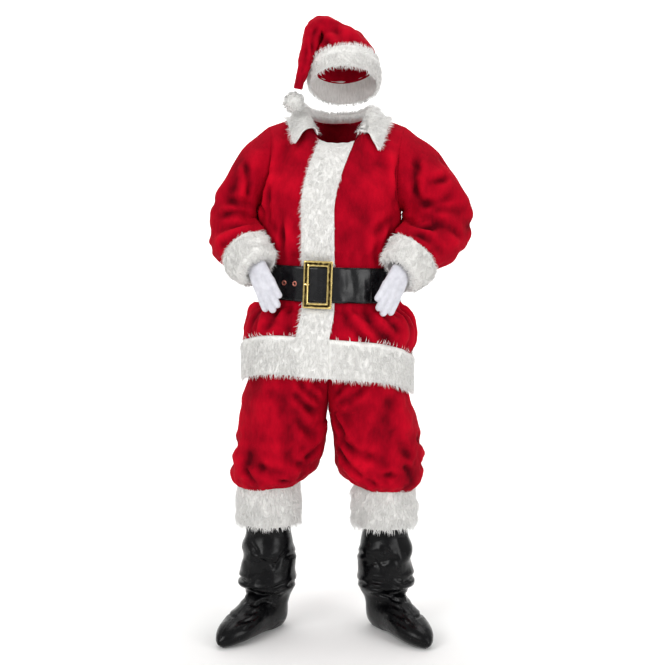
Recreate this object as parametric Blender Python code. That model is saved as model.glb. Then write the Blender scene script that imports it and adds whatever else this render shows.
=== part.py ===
# A worn Santa suit: jacket, trousers, hat, belt, boot covers and gloves, hollow and held at the neck.
# Heights in the tables are above the floor, +X is the wearer's left, and the wearer faces -Y.
import bmesh
import bpy
from collections import namedtuple
from math import cos, pi, radians, sin, tau
from mathutils import Vector
from mathutils.bvhtree import BVHTree

# the neck opening, where the wearer holds the suit up, is the origin
NECK_CENTRE = Vector((0.030, 0.015, 1.560))

GAP = 0.0003              # between pieces at every seam
CLOTH = 0.0022            # plush and its backing
VINYL = 0.0016            # boot covers
FUR = 0.013               # reach of the long fur with its backing
FUR_FLAT = 0.007          # fur pressed flat under the belt
KNIT = 0.0016             # gloves

# belt and buckle
BELT_HEIGHT = 0.104
BELT_THICK = 0.0024
BELT_CENTRE = 1.087
BELT_SLOPE = -0.035
BELT_LAYER = 0.0031       # from one layer of the strap to the next
BELT_STEP = radians(6)    # between the strap's rings
BELT_TAIL = 7             # rings that the free end runs past the buckle
BUCKLE_WIDTH = 0.086
BUCKLE_HEIGHT = 0.139
BUCKLE_BAR = 0.0165
BUCKLE_THICK = 0.005
EYELET_PITCH = 0.036
EYELET_OUTER = 0.008
EYELET_INNER = 0.0036

# jacket
HEM_HEIGHT = 0.770
HEM_BAND = 0.116
TURNED_IN = 1e-7          # puts a side seam's edge on the back's half of the ring
UNDERARM = 1.300
SHOULDER_HALF = 0.208
SHOULDER_HEIGHT = 1.553
SHOULDER_CENTRE = 0.027
NECK_HALF = 0.082
NECK_DEPTH = 0.080
NECK_FRONT = 1.500
NECK_SIDE = 1.582
NECK_ANGLE = radians(33.75)  # the part of each quarter that the neckline takes
ARMHOLE_DEPTH = 0.105
PLACKET_HALF = 0.053

# trousers, cuffs and boot covers
CROTCH = 0.684
WAIST = 1.000
WAISTBAND = 0.040
LEG_CUFF = 0.116

Body = namedtuple("Body", "height centre half front back lift slope")
JACKET = [
    Body(0.760, -0.004, 0.257, 0.198, 0.192, 0.044, -0.080),
    Body(0.886, -0.002, 0.257, 0.200, 0.192, 0.044, -0.080),
    Body(0.950, 0.008, 0.256, 0.196, 0.186, 0.032, -0.062),
    Body(0.988, 0.009, 0.242, 0.186, 0.172, 0.012, -0.045),
    Body(1.014, 0.006, 0.214, 0.172, 0.152, 0.000, -0.035),
    Body(1.160, 0.006, 0.211, 0.172, 0.152, 0.000, -0.035),
    Body(1.188, 0.006, 0.214, 0.184, 0.162, 0.000, -0.018),
    Body(1.235, 0.006, 0.214, 0.182, 0.164, 0.000, -0.006),
    Body(1.300, 0.006, 0.216, 0.168, 0.158, 0.000, 0.000),
]
FRONT_TURN = radians(9)   # the fronts meet a little to the wearer's right of the middle

# the outer side and the inner side of each ring of a sleeve, and half its depth
Sleeve = namedtuple("Sleeve", "out_x out_y out_h in_x in_y in_h half")
SLEEVE_RIGHT = [
    Sleeve(-0.268, 0.002, 1.478, -0.222, 0.000, 1.297, 0.098),
    Sleeve(-0.304, 0.010, 1.404, -0.222, -0.010, 1.284, 0.096),
    Sleeve(-0.332, 0.022, 1.332, -0.218, -0.026, 1.270, 0.092),
    Sleeve(-0.343, 0.028, 1.258, -0.212, -0.050, 1.258, 0.085),
    Sleeve(-0.338, 0.010, 1.186, -0.208, -0.080, 1.250, 0.078),
    Sleeve(-0.322, -0.030, 1.145, -0.204, -0.106, 1.246, 0.070),
    Sleeve(-0.285, -0.066, 1.130, -0.201, -0.126, 1.238, 0.062),
]
SLEEVE_LEFT = [
    Sleeve(0.324, 0.002, 1.484, 0.236, 0.000, 1.297, 0.096),
    Sleeve(0.384, 0.010, 1.404, 0.236, -0.010, 1.282, 0.098),
    Sleeve(0.424, 0.024, 1.330, 0.232, -0.026, 1.266, 0.096),
    Sleeve(0.432, 0.028, 1.255, 0.226, -0.050, 1.252, 0.088),
    Sleeve(0.414, 0.008, 1.186, 0.220, -0.080, 1.244, 0.080),
    Sleeve(0.366, -0.032, 1.142, 0.214, -0.106, 1.240, 0.072),
    Sleeve(0.302, -0.068, 1.118, 0.208, -0.126, 1.230, 0.062),
]
CUFF_END_RIGHT = Sleeve(-0.238, -0.130, 1.084, -0.166, -0.172, 1.176, 0.058)
CUFF_END_LEFT = Sleeve(0.246, -0.132, 1.066, 0.168, -0.174, 1.174, 0.058)

Leg = namedtuple("Leg", "height centre half front back")
LEG_RIGHT = [
    Leg(1.000, 0.000, 0.185, 0.140, 0.130),
    Leg(0.920, -0.040, 0.176, 0.150, 0.142),
    Leg(0.840, -0.084, 0.150, 0.152, 0.146),
    Leg(0.780, -0.104, 0.142, 0.152, 0.146),
    Leg(0.735, -0.124, 0.136, 0.150, 0.146),
    Leg(0.684, -0.136, 0.133, 0.144, 0.144),
    Leg(0.600, -0.147, 0.137, 0.136, 0.138),
    Leg(0.520, -0.163, 0.134, 0.134, 0.136),
    Leg(0.484, -0.176, 0.119, 0.124, 0.124),
    Leg(0.460, -0.184, 0.094, 0.098, 0.098),
]
LEG_LEFT = [
    Leg(1.000, 0.000, 0.185, 0.140, 0.130),
    Leg(0.920, 0.040, 0.176, 0.150, 0.142),
    Leg(0.840, 0.084, 0.150, 0.152, 0.146),
    Leg(0.780, 0.098, 0.134, 0.150, 0.144),
    Leg(0.735, 0.114, 0.131, 0.150, 0.146),
    Leg(0.684, 0.136, 0.133, 0.144, 0.144),
    Leg(0.600, 0.150, 0.137, 0.136, 0.138),
    Leg(0.520, 0.158, 0.135, 0.134, 0.136),
    Leg(0.476, 0.168, 0.120, 0.124, 0.124),
    Leg(0.453, 0.174, 0.094, 0.098, 0.098),
]

# rings of a boot cover: where its middle is along the foot and up, how the ring leans, and its radii
Boot = namedtuple("Boot", "along height lean side deep")
BOOT = [
    Boot(-0.004, 0.350, 0, 0.068, 0.070),
    Boot(-0.004, 0.305, 0, 0.070, 0.072),
    Boot(0.000, 0.262, 0, 0.081, 0.082),
    Boot(0.000, 0.220, 0, 0.082, 0.084),
    Boot(0.002, 0.165, 3, 0.087, 0.090),
    Boot(0.008, 0.138, 8, 0.084, 0.087),
    Boot(0.004, 0.108, 22, 0.064, 0.076),
    Boot(0.012, 0.066, 42, 0.056, 0.094),
    Boot(0.068, 0.060, 66, 0.053, 0.065),
    Boot(0.120, 0.050, 80, 0.056, 0.049),
    Boot(0.166, 0.041, 88, 0.055, 0.038),
    Boot(0.204, 0.034, 90, 0.041, 0.030),
    Boot(0.230, 0.027, 90, 0.023, 0.020),
    Boot(0.243, 0.023, 90, 0.008, 0.008),
]
BOOT_RIGHT_PLACE = Vector((-0.188, 0.000, 0.0))
BOOT_LEFT_PLACE = Vector((0.179, 0.000, 0.0))
BOOT_RIGHT_TURN = radians(-34)
BOOT_LEFT_TURN = radians(30)

# rings of the hat from its opening to the tip: middle, the way it points, and its radii
Hat = namedtuple("Hat", "x y height pitch roll side deep")
HAT = [
    Hat(0.048, 0.012, 1.680, 24, 0, 0.099, 0.112),
    Hat(0.049, 0.016, 1.742, 22, -4, 0.097, 0.110),
    Hat(0.038, 0.018, 1.792, 16, -16, 0.080, 0.092),
    Hat(0.014, 0.014, 1.830, 8, -38, 0.044, 0.072),
    Hat(-0.015, 0.005, 1.852, 0, -80, 0.028, 0.054),
    Hat(-0.044, -0.007, 1.837, -4, -128, 0.021, 0.044),
    Hat(-0.062, -0.020, 1.786, -6, -160, 0.018, 0.038),
    Hat(-0.076, -0.031, 1.722, -6, -168, 0.014, 0.030),
    Hat(-0.089, -0.040, 1.662, -4, -170, 0.011, 0.018),
]
POMPOM = Vector((-0.101, -0.044, 1.622))
POMPOM_RADIUS = 0.032

# the collar's cross-section: how far out from the neckline and up each point lies
Fold = namedtuple("Fold", "out up")
COLLAR = [
    Fold(0.000, 0.010),
    Fold(0.002, 0.025),
    Fold(0.014, 0.036),
    Fold(0.032, 0.038),
    Fold(0.046, 0.029),
    Fold(0.059, 0.013),
    Fold(0.071, -0.001),
]
COLLAR_OPEN = radians(45)
COLLAR_DROP_RIGHT = 0.016  # how much lower its points hang than the rest
COLLAR_DROP_LEFT = 0.040
COLLAR_FUR = 0.008

# fingers of a glove: where each starts and ends in the hand's own plane, and how thick it is
Finger = namedtuple("Finger", "name x0 y0 z0 x1 y1 z1 r0 r1")
HAND = [
    Finger("palm_index", 0.016, 0.000, 0.000, 0.027, 0.060, 0.000, 0.019, 0.016),
    Finger("palm_little", -0.014, 0.000, 0.000, -0.022, 0.054, 0.000, 0.018, 0.015),
    Finger("palm_middle", 0.001, 0.010, 0.001, 0.003, 0.062, 0.001, 0.018, 0.016),
    Finger("index", 0.0295, 0.058, 0.000, 0.0400, 0.118, 0.000, 0.0128, 0.0096),
    Finger("middle", 0.0095, 0.064, 0.001, 0.0130, 0.130, 0.000, 0.0130, 0.0098),
    Finger("ring", -0.0100, 0.060, 0.001, -0.0130, 0.122, 0.000, 0.0126, 0.0094),
    Finger("little", -0.0280, 0.052, 0.000, -0.0360, 0.100, 0.000, 0.0116, 0.0086),
    Finger("thumb", 0.014, 0.008, -0.004, 0.030, 0.050, -0.030, 0.0150, 0.0108),
]
# the hands hang over the belt: where each comes out of its sleeve, its palm, its aim and its back
Hand = namedtuple("Hand", "name mirror sleeve_from palm aim facing")
HANDS = [
    Hand("right", 1, Vector((-0.232, -0.130, 1.160)), Vector((-0.206, -0.157, 1.138)),
         Vector((0.046, -0.012, -0.105)), Vector((-0.58, -0.81, 0.0))),
    Hand("left", -1, Vector((0.242, -0.131, 1.150)), Vector((0.213, -0.159, 1.126)),
         Vector((-0.050, -0.012, -0.100)), Vector((0.58, -0.81, 0.0))),
]
WRIST_RADIUS = 0.028
FINGER_SIDES = 6

PALETTE = {
    "red_plush": ("#B00016", 0.9, 0.0),
    "white_fur": ("#ECEBE8", 0.95, 0.0),
    "black_vinyl": ("#141416", 0.35, 0.0),
    "brass": ("#B89A45", 0.3, 1.0),
    "copper": ("#B4604C", 0.35, 1.0),
    "white_knit": ("#E4E5E8", 0.9, 0.0),
}


def clear_scene():
    for item in list(bpy.data.objects):
        bpy.data.objects.remove(item, do_unlink=True)


def linear(hex_value):
    channels = []
    for start in (1, 3, 5):
        value = int(hex_value[start:start + 2], 16) / 255
        channels.append(value / 12.92 if value <= 0.04045 else ((value + 0.055) / 1.055) ** 2.4)
    return (*channels, 1.0)


def material(slot, name):
    colour, roughness, metallic = PALETTE[slot]
    shade = bpy.data.materials.new(slot + "_" + name)
    shade.use_nodes = True
    principled = shade.node_tree.nodes["Principled BSDF"]
    principled.inputs["Base Color"].default_value = linear(colour)
    principled.inputs["Roughness"].default_value = roughness
    principled.inputs["Metallic"].default_value = metallic
    return shade


def smooth(value):
    value = min(max(value, 0.0), 1.0)
    return value * value * (3 - 2 * value)


def hump(value, middle, half):
    return 1 - smooth(abs(value - middle) / half)


def through(values, t):
    """A smooth curve through evenly spaced values, t running from 0 to their count less one."""
    last = len(values) - 1
    index = min(max(int(t), 0), last - 1)
    f = t - index
    p0, p1 = values[max(index - 1, 0)], values[index]
    p2, p3 = values[index + 1], values[min(index + 2, last)]
    m1, m2 = (p2 - p0) * 0.5, (p3 - p1) * 0.5
    return (p1 * (2 * f ** 3 - 3 * f ** 2 + 1) + m1 * (f ** 3 - 2 * f ** 2 + f)
            + p2 * (3 * f ** 2 - 2 * f ** 3) + m2 * (f ** 3 - f ** 2))


def row_at(table, height):
    """Where a height falls in a table that is sorted by height, as a running row number."""
    rising = table[0].height < table[-1].height
    for index in range(len(table) - 1):
        low, high = table[index].height, table[index + 1].height
        if (low <= height <= high) if rising else (high <= height <= low):
            return index + (height - low) / (high - low)
    near_first = abs(height - table[0].height) < abs(height - table[-1].height)
    return 0.0 if near_first else float(len(table) - 1)


def column(table, field, t):
    return through([getattr(row, field) for row in table], t)


def add_solid(name, slot, vertices, faces):
    mesh = bpy.data.meshes.new(name)
    mesh.from_pydata([Vector(v) - NECK_CENTRE for v in vertices], [], faces)
    work = bmesh.new()
    work.from_mesh(mesh)
    bmesh.ops.triangulate(work, faces=work.faces)
    if work.calc_volume(signed=True) < 0:
        bmesh.ops.reverse_faces(work, faces=work.faces)
    work.to_mesh(mesh)
    work.free()
    mesh.shade_smooth()
    mesh.set_sharp_from_angle(angle=radians(50))
    mesh.materials.append(material(slot, name))
    item = bpy.data.objects.new(name, mesh)
    bpy.context.scene.collection.objects.link(item)
    return item


def spread(first, last, count):
    """Evenly spaced values, count steps long."""
    return [first + (last - first) * k / count for k in range(count + 1)]


def slope_normal(surface, u, v, u_domain, v_domain):
    """The way a surface faces, from its slopes to both sides where it goes on."""
    du, dv = 0.01, (v_domain[1] - v_domain[0]) * 0.004
    across = surface(min(u + du, u_domain[1]), v) - surface(max(u - du, u_domain[0]), v)
    up = surface(u, min(v + dv, v_domain[1])) - surface(u, max(v - dv, v_domain[0]))
    return across.cross(up).normalized()


def sheet(name, slot, surface, columns, levels, inner, outer, closed=False, edge_normal=None,
          seams=(True, True, True, True), u_domain=(-9, 9), v_domain=None):
    """A wall between two distances from a surface. inner and outer may be numbers or functions."""
    v_domain = v_domain or (min(levels), max(levels))
    count_u = len(columns) - 1 if closed else len(columns)
    skins = ([], [])
    for v in levels:
        rows = ([], [])
        for i in range(count_u):
            u = columns[i]
            normal = slope_normal(surface, u, v, u_domain, v_domain)
            if edge_normal is not None:
                normal = edge_normal(u, v, normal)
            point = surface(u, v)
            for side, distance in enumerate((inner, outer)):
                away = distance(u, v) if callable(distance) else distance
                rows[side].append(point + normal * away)
        skins[0].append(rows[0])
        skins[1].append(rows[1])
    for skin in skins:
        draw_in(skin, closed, seams)
    vertices = [point for skin in skins for row in skin for point in row]
    faces = wall_faces(len(levels), count_u, closed)
    return add_solid(name, slot, vertices, faces)


def draw_in(skin, closed, seams):
    """Move each open edge of a skin half a seam gap towards the middle of the sheet."""
    left, right, bottom, top = seams
    half = GAP / 2
    if not closed:
        for row in skin:
            first = (row[1] - row[0]).normalized() * half
            last = (row[-2] - row[-1]).normalized() * half
            row[0] = row[0] + first if left else row[0]
            row[-1] = row[-1] + last if right else row[-1]
    for i in range(len(skin[0])):
        lower = (skin[1][i] - skin[0][i]).normalized() * half
        upper = (skin[-2][i] - skin[-1][i]).normalized() * half
        skin[0][i] = skin[0][i] + lower if bottom else skin[0][i]
        skin[-1][i] = skin[-1][i] + upper if top else skin[-1][i]


def wall_faces(rows, columns, closed):
    """Two skins and the strips that join them along every open edge."""
    second = rows * columns
    faces = []
    for j in range(rows - 1):
        for i in range(columns if closed else columns - 1):
            a = j * columns + i
            b = j * columns + (i + 1) % columns
            c, d = b + columns, a + columns
            faces.append((a, d, c, b))
            faces.append((second + a, second + b, second + c, second + d))
    for i in range(columns if closed else columns - 1):
        a, b = i, (i + 1) % columns
        faces.append((a, b, second + b, second + a))
        top = (rows - 1) * columns
        faces.append((top + b, top + a, second + top + a, second + top + b))
    if not closed:
        for j in range(rows - 1):
            a, b = j * columns, (j + 1) * columns
            faces.append((b, a, second + a, second + b))
            a, b = a + columns - 1, b + columns - 1
            faces.append((a, b, second + b, second + a))
    return faces


def jacket_ring(angle, height):
    """A point round the body: angle 0 is where the fronts meet, and it grows towards the left arm."""
    t = row_at(JACKET, height)
    turned = angle - FRONT_TURN * cos(angle / 2) ** 2
    half = column(JACKET, "half", t)
    facing = cos(turned)
    depth = column(JACKET, "front", t) if facing > 0 else column(JACKET, "back", t)
    skirt = smooth((1.03 - height) / 0.2)
    flute = 1 + skirt * (0.008 * cos(7 * angle + 0.8) + 0.006 * cos(11 * angle))
    x = column(JACKET, "centre", t) + half * flute * sin(turned)
    y = -depth * flute * facing
    lift = column(JACKET, "lift", t) * smooth(max(facing, 0)) + column(JACKET, "slope", t) * x
    return Vector((x, y, height + lift))


def neckline(angle):
    """The neck edge, lower in front than behind; angle 0 is the front."""
    drop = (NECK_SIDE - NECK_FRONT) * smooth(max(cos(angle), 0.0))
    rear = 0.012 * smooth(max(-cos(angle), 0.0))
    return Vector((NECK_CENTRE.x + NECK_HALF * sin(angle), NECK_CENTRE.y - NECK_DEPTH * cos(angle),
                   NECK_SIDE - drop - rear))


def jacket_top(angle):
    """The neckline and then the shoulder seam, out to the armhole."""
    side = 1 if angle >= 0 else -1
    quarter = abs(angle) if abs(angle) <= pi / 2 else pi - abs(angle)
    if quarter <= NECK_ANGLE:
        round_neck = quarter / NECK_ANGLE * pi / 2
        return neckline(side * (round_neck if abs(angle) <= pi / 2 else pi - round_neck))
    along = (quarter - NECK_ANGLE) / (pi / 2 - NECK_ANGLE)
    inner = neckline(side * pi / 2)
    tip = Vector((SHOULDER_CENTRE + side * SHOULDER_HALF, 0.010, SHOULDER_HEIGHT))
    point = inner.lerp(tip, along)
    point.z += 0.006 * sin(pi * along)
    return point


def jacket(angle, rise):
    """The jacket body: rise is a height up to the underarm, and from there to 2 it runs to the shoulder."""
    if rise <= UNDERARM:
        return jacket_ring(angle, rise)
    t = (rise - UNDERARM) / (2 - UNDERARM)
    ahead = -1 if abs(angle) <= pi / 2 else 1
    side = 1 if angle >= 0 else -1
    quarter = abs(angle) if abs(angle) <= pi / 2 else pi - abs(angle)
    edge = smooth(quarter / (pi / 2)) ** 3
    start = jacket_ring(angle, UNDERARM)
    end = jacket_top(angle)
    first = start + Vector((-side * 0.030 * edge, ahead * ARMHOLE_DEPTH * edge, 0.100 - 0.065 * edge))
    second = end + Vector((-side * 0.028 * edge, ahead * (0.060 + 0.040 * edge), 0.002 - 0.035 * edge))
    if quarter < NECK_ANGLE:
        second.z -= 0.024 * (1 - quarter / NECK_ANGLE)
    s = 1 - t
    return start * s ** 3 + first * 3 * s * s * t + second * 3 * s * t * t + end * t ** 3


def armhole(side, turn):
    """The armhole loop: turn 0 is the shoulder tip, a quarter is the front, a half the underarm."""
    turn = turn % tau
    front = turn <= pi
    share = turn / pi if front else (tau - turn) / pi
    nudge = TURNED_IN if not front else 0.0
    return jacket(side * (pi / 2 + nudge), 2 - share * (2 - UNDERARM))


def sleeve_ring(table, index, side, turn):
    row = table[index]
    outer = Vector((row.out_x, row.out_y, row.out_h))
    inner = Vector((row.in_x, row.in_y, row.in_h))
    before, after = table[max(index - 1, 0)], table[min(index + 1, len(table) - 1)]
    path = (Vector((after.out_x + after.in_x, after.out_y + after.in_y, after.out_h + after.in_h))
            - Vector((before.out_x + before.in_x, before.out_y + before.in_y, before.out_h + before.in_h)))
    reach = (outer - inner) * 0.5
    front = reach.cross(path).normalized() * row.half * -side
    return (outer + inner) * 0.5 + reach * cos(turn) + front * sin(turn)


def jacket_tree():
    """The jacket body as a search tree, for whatever has to lie on it or beside it."""
    angles = spread(-pi, pi, 120)
    rises = spread(HEM_HEIGHT, 2.0, 110)
    vertices, faces = [], []
    for rise in rises:
        for angle in angles:
            vertices.append(jacket(angle, rise))
    for j in range(len(rises) - 1):
        for i in range(len(angles) - 1):
            a = j * len(angles) + i
            faces.append((a, a + 1, a + 1 + len(angles), a + len(angles)))
    return BVHTree.FromPolygons(vertices, faces)


def keep_off_body(point, room):
    """Cloth that would lie inside the jacket body is pushed out to lie beside it."""
    place, normal, _, distance = BODY_TREE.find_nearest(point)
    if (point - place).dot(normal) > 0 and distance >= room:
        return point
    return place + normal * room


def sleeve(table, side, turn, along):
    rings = [armhole(side, turn)]
    rings += [sleeve_ring(table, index, side, turn) for index in range(len(table))]
    point = through(rings, along)
    if along < 1e-6:
        return point
    upper = max(along - 1, 0.0)
    axis = through([sum((sleeve_ring(table, k, side, q * pi / 2) for q in range(4)), Vector()) / 4
                    for k in range(len(table))], upper)
    elbow = hump(along, 4.2, 2.2) * 0.004 * sin(along * 3.2) * smooth(-cos(turn))
    swell = hump(along, 3.0, 2.4) * 0.005 * cos(4 * turn + along * 1.3)
    point = point + (point - axis).normalized() * (elbow + swell) * smooth(along / 1.5)
    room = 0.006 * smooth((along - 0.4) / 1.2) + 0.017 * smooth((along - 5.0) / 2.0)
    return keep_off_body(point, room) if along > 0.4 and point.z < UNDERARM + 0.11 else point


def cuff(table, end, side, turn, along):
    start = sleeve_ring(table, len(table) - 1, side, turn)
    finish = sleeve_ring(table + [end], len(table), side, turn)
    return keep_off_body(start.lerp(finish, along), 0.023)


def leg_ring(table, turn, height):
    """turn 0 is the outer side, a quarter the front and a half the inside of the leg."""
    side = 1 if table is LEG_LEFT else -1
    t = row_at(table, height)
    half = column(table, "half", t)
    depth = column(table, "front", t) if sin(turn) > 0 else column(table, "back", t)
    gather = smooth((0.56 - height) / 0.10) * 0.035 * cos(9 * turn + 0.5)
    sag = 0.022 * hump(height, 0.55, 0.12) * cos(3 * turn + 7 * height)
    swell = 1 + gather + sag
    x = column(table, "centre", t) + side * half * swell * cos(turn)
    return Vector((x, -depth * swell * sin(turn), height))


def seam_turn(table, height, front):
    """How far round the leg its cloth runs before it meets the other leg at the middle."""
    side = 1 if table is LEG_LEFT else -1
    if height <= CROTCH:
        return pi
    low, high = pi * 0.4, pi
    for _ in range(40):
        middle = (low + high) / 2
        x = leg_ring(table, middle if front else -middle, height).x * side
        low, high = (middle, high) if x > 0 else (low, middle)
    return low


def trouser(table, front, share, height):
    turn = seam_turn(table, height, front) * share
    point = leg_ring(table, turn if front else -turn, height)
    side = 1 if table is LEG_LEFT else -1
    point.x = side * max(point.x * side, 0.0)
    return point


def boot(place, turn_out, turn, along):
    lean = radians(column(BOOT, "lean", along))
    forward = Vector((sin(turn_out), -cos(turn_out), 0))
    sideways = Vector((cos(turn_out), sin(turn_out), 0))
    up = Vector((0, 0, 1))
    deep = forward * cos(lean) + up * sin(lean)
    centre = place + forward * column(BOOT, "along", along) + up * column(BOOT, "height", along)
    point = (centre + sideways * column(BOOT, "side", along) * sin(turn)
             + deep * column(BOOT, "deep", along) * cos(turn))
    slouch = hump(along, 2.6, 1.3) * 0.006 * cos(3 * turn + along * 2.2)
    point += (point - centre).normalized() * slouch
    point.z = max(point.z, 0.0005 + 0.02 * max(0.02 - point.z, 0))
    return point


def hat(turn, along):
    """turn 0 is the side over the wearer's left ear, a quarter is the front."""
    pitch = radians(column(HAT, "pitch", along))
    roll = radians(column(HAT, "roll", along))
    axis = Vector((sin(roll), sin(pitch) * cos(roll), cos(roll) * cos(pitch))).normalized()
    ahead = Vector((0, -cos(pitch), sin(pitch)))
    ahead = (ahead - axis * ahead.dot(axis)).normalized()
    aside = ahead.cross(axis).normalized() * -1
    centre = Vector((column(HAT, "x", along), column(HAT, "y", along), column(HAT, "height", along)))
    fold = 1 + 0.05 * hump(along, 3.2, 2.0) * cos(5 * turn + 1.0)
    return (centre + aside * column(HAT, "side", along) * fold * cos(turn)
            + ahead * column(HAT, "deep", along) * fold * sin(turn))


def jacket_levels():
    """Heights of the panels' rows, closer together where the belt draws the cloth in."""
    low = [HEM_HEIGHT + HEM_BAND, 0.926, 0.960, 0.984, 1.002, 1.018, 1.087, 1.156, 1.172, 1.192, 1.240]
    return low + spread(UNDERARM, 2.0, 8)


def build_jacket():
    domain = (HEM_HEIGHT, 2.0)
    for name, sign in (("jacket_front_left", 1), ("jacket_front_right", -1)):
        columns = spread(0.0, pi / 2, 8) if sign > 0 else spread(-pi / 2, 0.0, 8)
        sheet(name, "red_plush", jacket, columns, jacket_levels(), -CLOTH, 0.0,
              edge_normal=shared_normal, v_domain=domain)
    sheet("jacket_back", "red_plush", lambda u, v: jacket(u if u <= pi else u - tau, v),
          spread(pi / 2 + TURNED_IN, 3 * pi / 2 - TURNED_IN, 16), jacket_levels(), -CLOTH, 0.0,
          edge_normal=shared_normal, v_domain=domain)


def shared_normal(u, v, normal):
    """Panels that meet at a shoulder or an armhole share one direction, so their walls stay apart."""
    angle = u if u <= pi else u - tau
    side = 1 if angle >= 0 else -1
    quarter = abs(angle) if abs(angle) <= pi / 2 else pi - abs(angle)
    if v > UNDERARM + 1e-6 and quarter > pi / 2 - 1e-4:
        front = abs(angle) <= pi / 2
        share = (2 - v) / (2 - UNDERARM) * pi
        return armhole_normal(side, share if front else tau - share)
    if v > 2 - 1e-6:
        round_neck = min(quarter / NECK_ANGLE, 1.0)
        ahead = -1 if abs(angle) <= pi / 2 else 1
        return Vector((side * 0.12 * round_neck, ahead * 0.34 * (1 - round_neck), 1.0)).normalized()
    return normal


def armhole_normal(side, turn):
    """The way cloth faces on the armhole seam, halfway between body and sleeve."""
    middle = Vector((side * SHOULDER_HALF * 0.95 + SHOULDER_CENTRE * 0.5, 0.004, 1.425))
    away = armhole(side, turn) - middle
    away.x = side * (0.035 + 0.045 * (1 - cos(turn)))
    return away.normalized()


def build_sleeves():
    for name, table, end, side in (("left", SLEEVE_LEFT, CUFF_END_LEFT, 1),
                                   ("right", SLEEVE_RIGHT, CUFF_END_RIGHT, -1)):
        last = len(table)

        def surface(u, v, table=table, side=side):
            return sleeve(table, side, u * side, v)

        def turned(u, v, table=table, end=end, side=side):
            return cuff(table, end, side, u * side, v)

        def seam(u, last=last, surface=surface, turned=turned):
            upper = slope_normal(surface, u, last, (-9, 9), (0, last))
            return (upper + slope_normal(turned, u, 0.0, (-9, 9), (0, 1))).normalized()

        def edge(u, v, normal, side=side, last=last, seam=seam):
            if v > last - 1e-6:
                return seam(u)
            return armhole_normal(side, u * side) if v < 1e-6 else normal

        def join_cuff(u, v, normal, seam=seam):
            return seam(u) if v < 0.05 else normal

        sheet("sleeve_" + name, "red_plush", surface, spread(0, tau, 16), spread(0, last, 10), -CLOTH, 0.0,
              closed=True, edge_normal=edge)
        sheet("cuff_fur_" + name, "white_fur", turned, spread(0, tau, 16), spread(0.02, 1.0, 3), -CLOTH,
              FUR - 0.001, closed=True, edge_normal=join_cuff)


def placket_out(u, v):
    """The placket's outer face, pressed flat where the belt crosses it."""
    pressed = 1 - smooth((abs(v - BELT_CENTRE) - 0.074) / 0.03)
    return FUR - (FUR - FUR_FLAT) * pressed


def placket_in(u, v):
    return 0.0008 + 0.0054 * smooth((v - 1.55) / 0.35)


def placket_surface(u, v):
    """u is a distance to each side of where the fronts meet."""
    t = min(v, UNDERARM)
    half = column(JACKET, "half", row_at(JACKET, t))
    shrink = 1.0 if v <= UNDERARM else 1 - 0.12 * (v - UNDERARM) / (2 - UNDERARM)
    angle = u / half * shrink
    if v > UNDERARM:
        toward = (v - UNDERARM) / (2 - UNDERARM)
        angle *= 1 + 0.35 * toward
    return jacket(angle, v)


def build_fur_trim():
    rows = [HEM_HEIGHT, 0.828] + jacket_levels()[:-1] + [1.955]
    sheet("placket_fur", "white_fur", placket_surface, spread(-PLACKET_HALF, PLACKET_HALF, 6), rows,
          placket_in, placket_out, seams=(True, True, False, False), v_domain=(HEM_HEIGHT, 2.0))
    edge = PLACKET_HALF / JACKET[0].half + 0.010
    hem = spread(HEM_HEIGHT, HEM_HEIGHT + HEM_BAND, 3)

    def band_out(u, v):
        return 0.0 if abs(u) < edge else FUR

    side = [0.0, edge / 2, edge - 0.004] + spread(edge, pi / 2, 7)
    domain = (HEM_HEIGHT, 2.0)
    sheet("hem_fur_front_left", "white_fur", jacket, side, hem, -CLOTH, band_out, v_domain=domain)
    sheet("hem_fur_front_right", "white_fur", jacket, [-u for u in reversed(side)], hem, -CLOTH,
          band_out, v_domain=domain)
    sheet("hem_fur_back", "white_fur", lambda u, v: jacket(u if u <= pi else u - tau, v),
          spread(pi / 2, 3 * pi / 2, 16), hem, -CLOTH, FUR, v_domain=domain)
    build_collar()


def collar(u, v):
    """u is the angle round the neck from the back, v runs over the fold to the outer edge."""
    angle = pi + u
    base = neckline(angle)
    away = Vector((sin(angle) * 1.08, -cos(angle), 0)).normalized()
    out = column(COLLAR, "out", v)
    up = column(COLLAR, "up", v)
    ahead = smooth((abs(u) - pi * 0.45) / (pi * 0.4))
    fall = smooth(v / 6)
    point_reach = 0.014 * smooth((abs(u) - pi * 0.62) / (pi * 0.14)) * fall
    drop = COLLAR_DROP_RIGHT if u > 0 else COLLAR_DROP_LEFT
    lower = -drop * ahead * fall - 0.014 * hump(abs(u), pi / 2, pi / 3) * fall
    if abs(u) < pi / 2:
        lower -= 0.022 * smooth(1 - abs(u) / (pi / 2)) * fall
    point = base + away * (out + point_reach) + Vector((0, 0, up + lower))
    return keep_off_body(point, 0.0040 + 0.0045 * smooth((v - 0.5) / 2))


def build_collar():
    reach = pi - COLLAR_OPEN
    sheet("collar_fur", "white_fur", collar, spread(-reach, reach, 24), spread(0, 6, 6), 0.002,
          0.002 - COLLAR_FUR)


def belt_surface(lift):
    def surface(angle, across):
        turned = wrap(angle)
        base = jacket_ring(turned, BELT_CENTRE)
        around = jacket_ring(turned + 0.01, BELT_CENTRE) - jacket_ring(turned - 0.01, BELT_CENTRE)
        away = Vector((around.y, -around.x, 0)).normalized()
        near = 1 - smooth((abs(turned) - 0.27) / 0.20)
        point = base + away * (0.0030 + near * FUR_FLAT + lift(angle))
        point.z = BELT_CENTRE + across + BELT_SLOPE * point.x
        return point
    return surface


def wrap(angle):
    return (angle + pi) % tau - pi


def strap_lift(angle):
    """The strap starts behind the buckle, runs once round and ends in front of its own start."""
    second = smooth((angle - (tau - 0.75)) / 0.5) * BELT_LAYER
    over_bar = hump(angle, tau, 0.085) * 0.0042
    return second + over_bar


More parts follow.
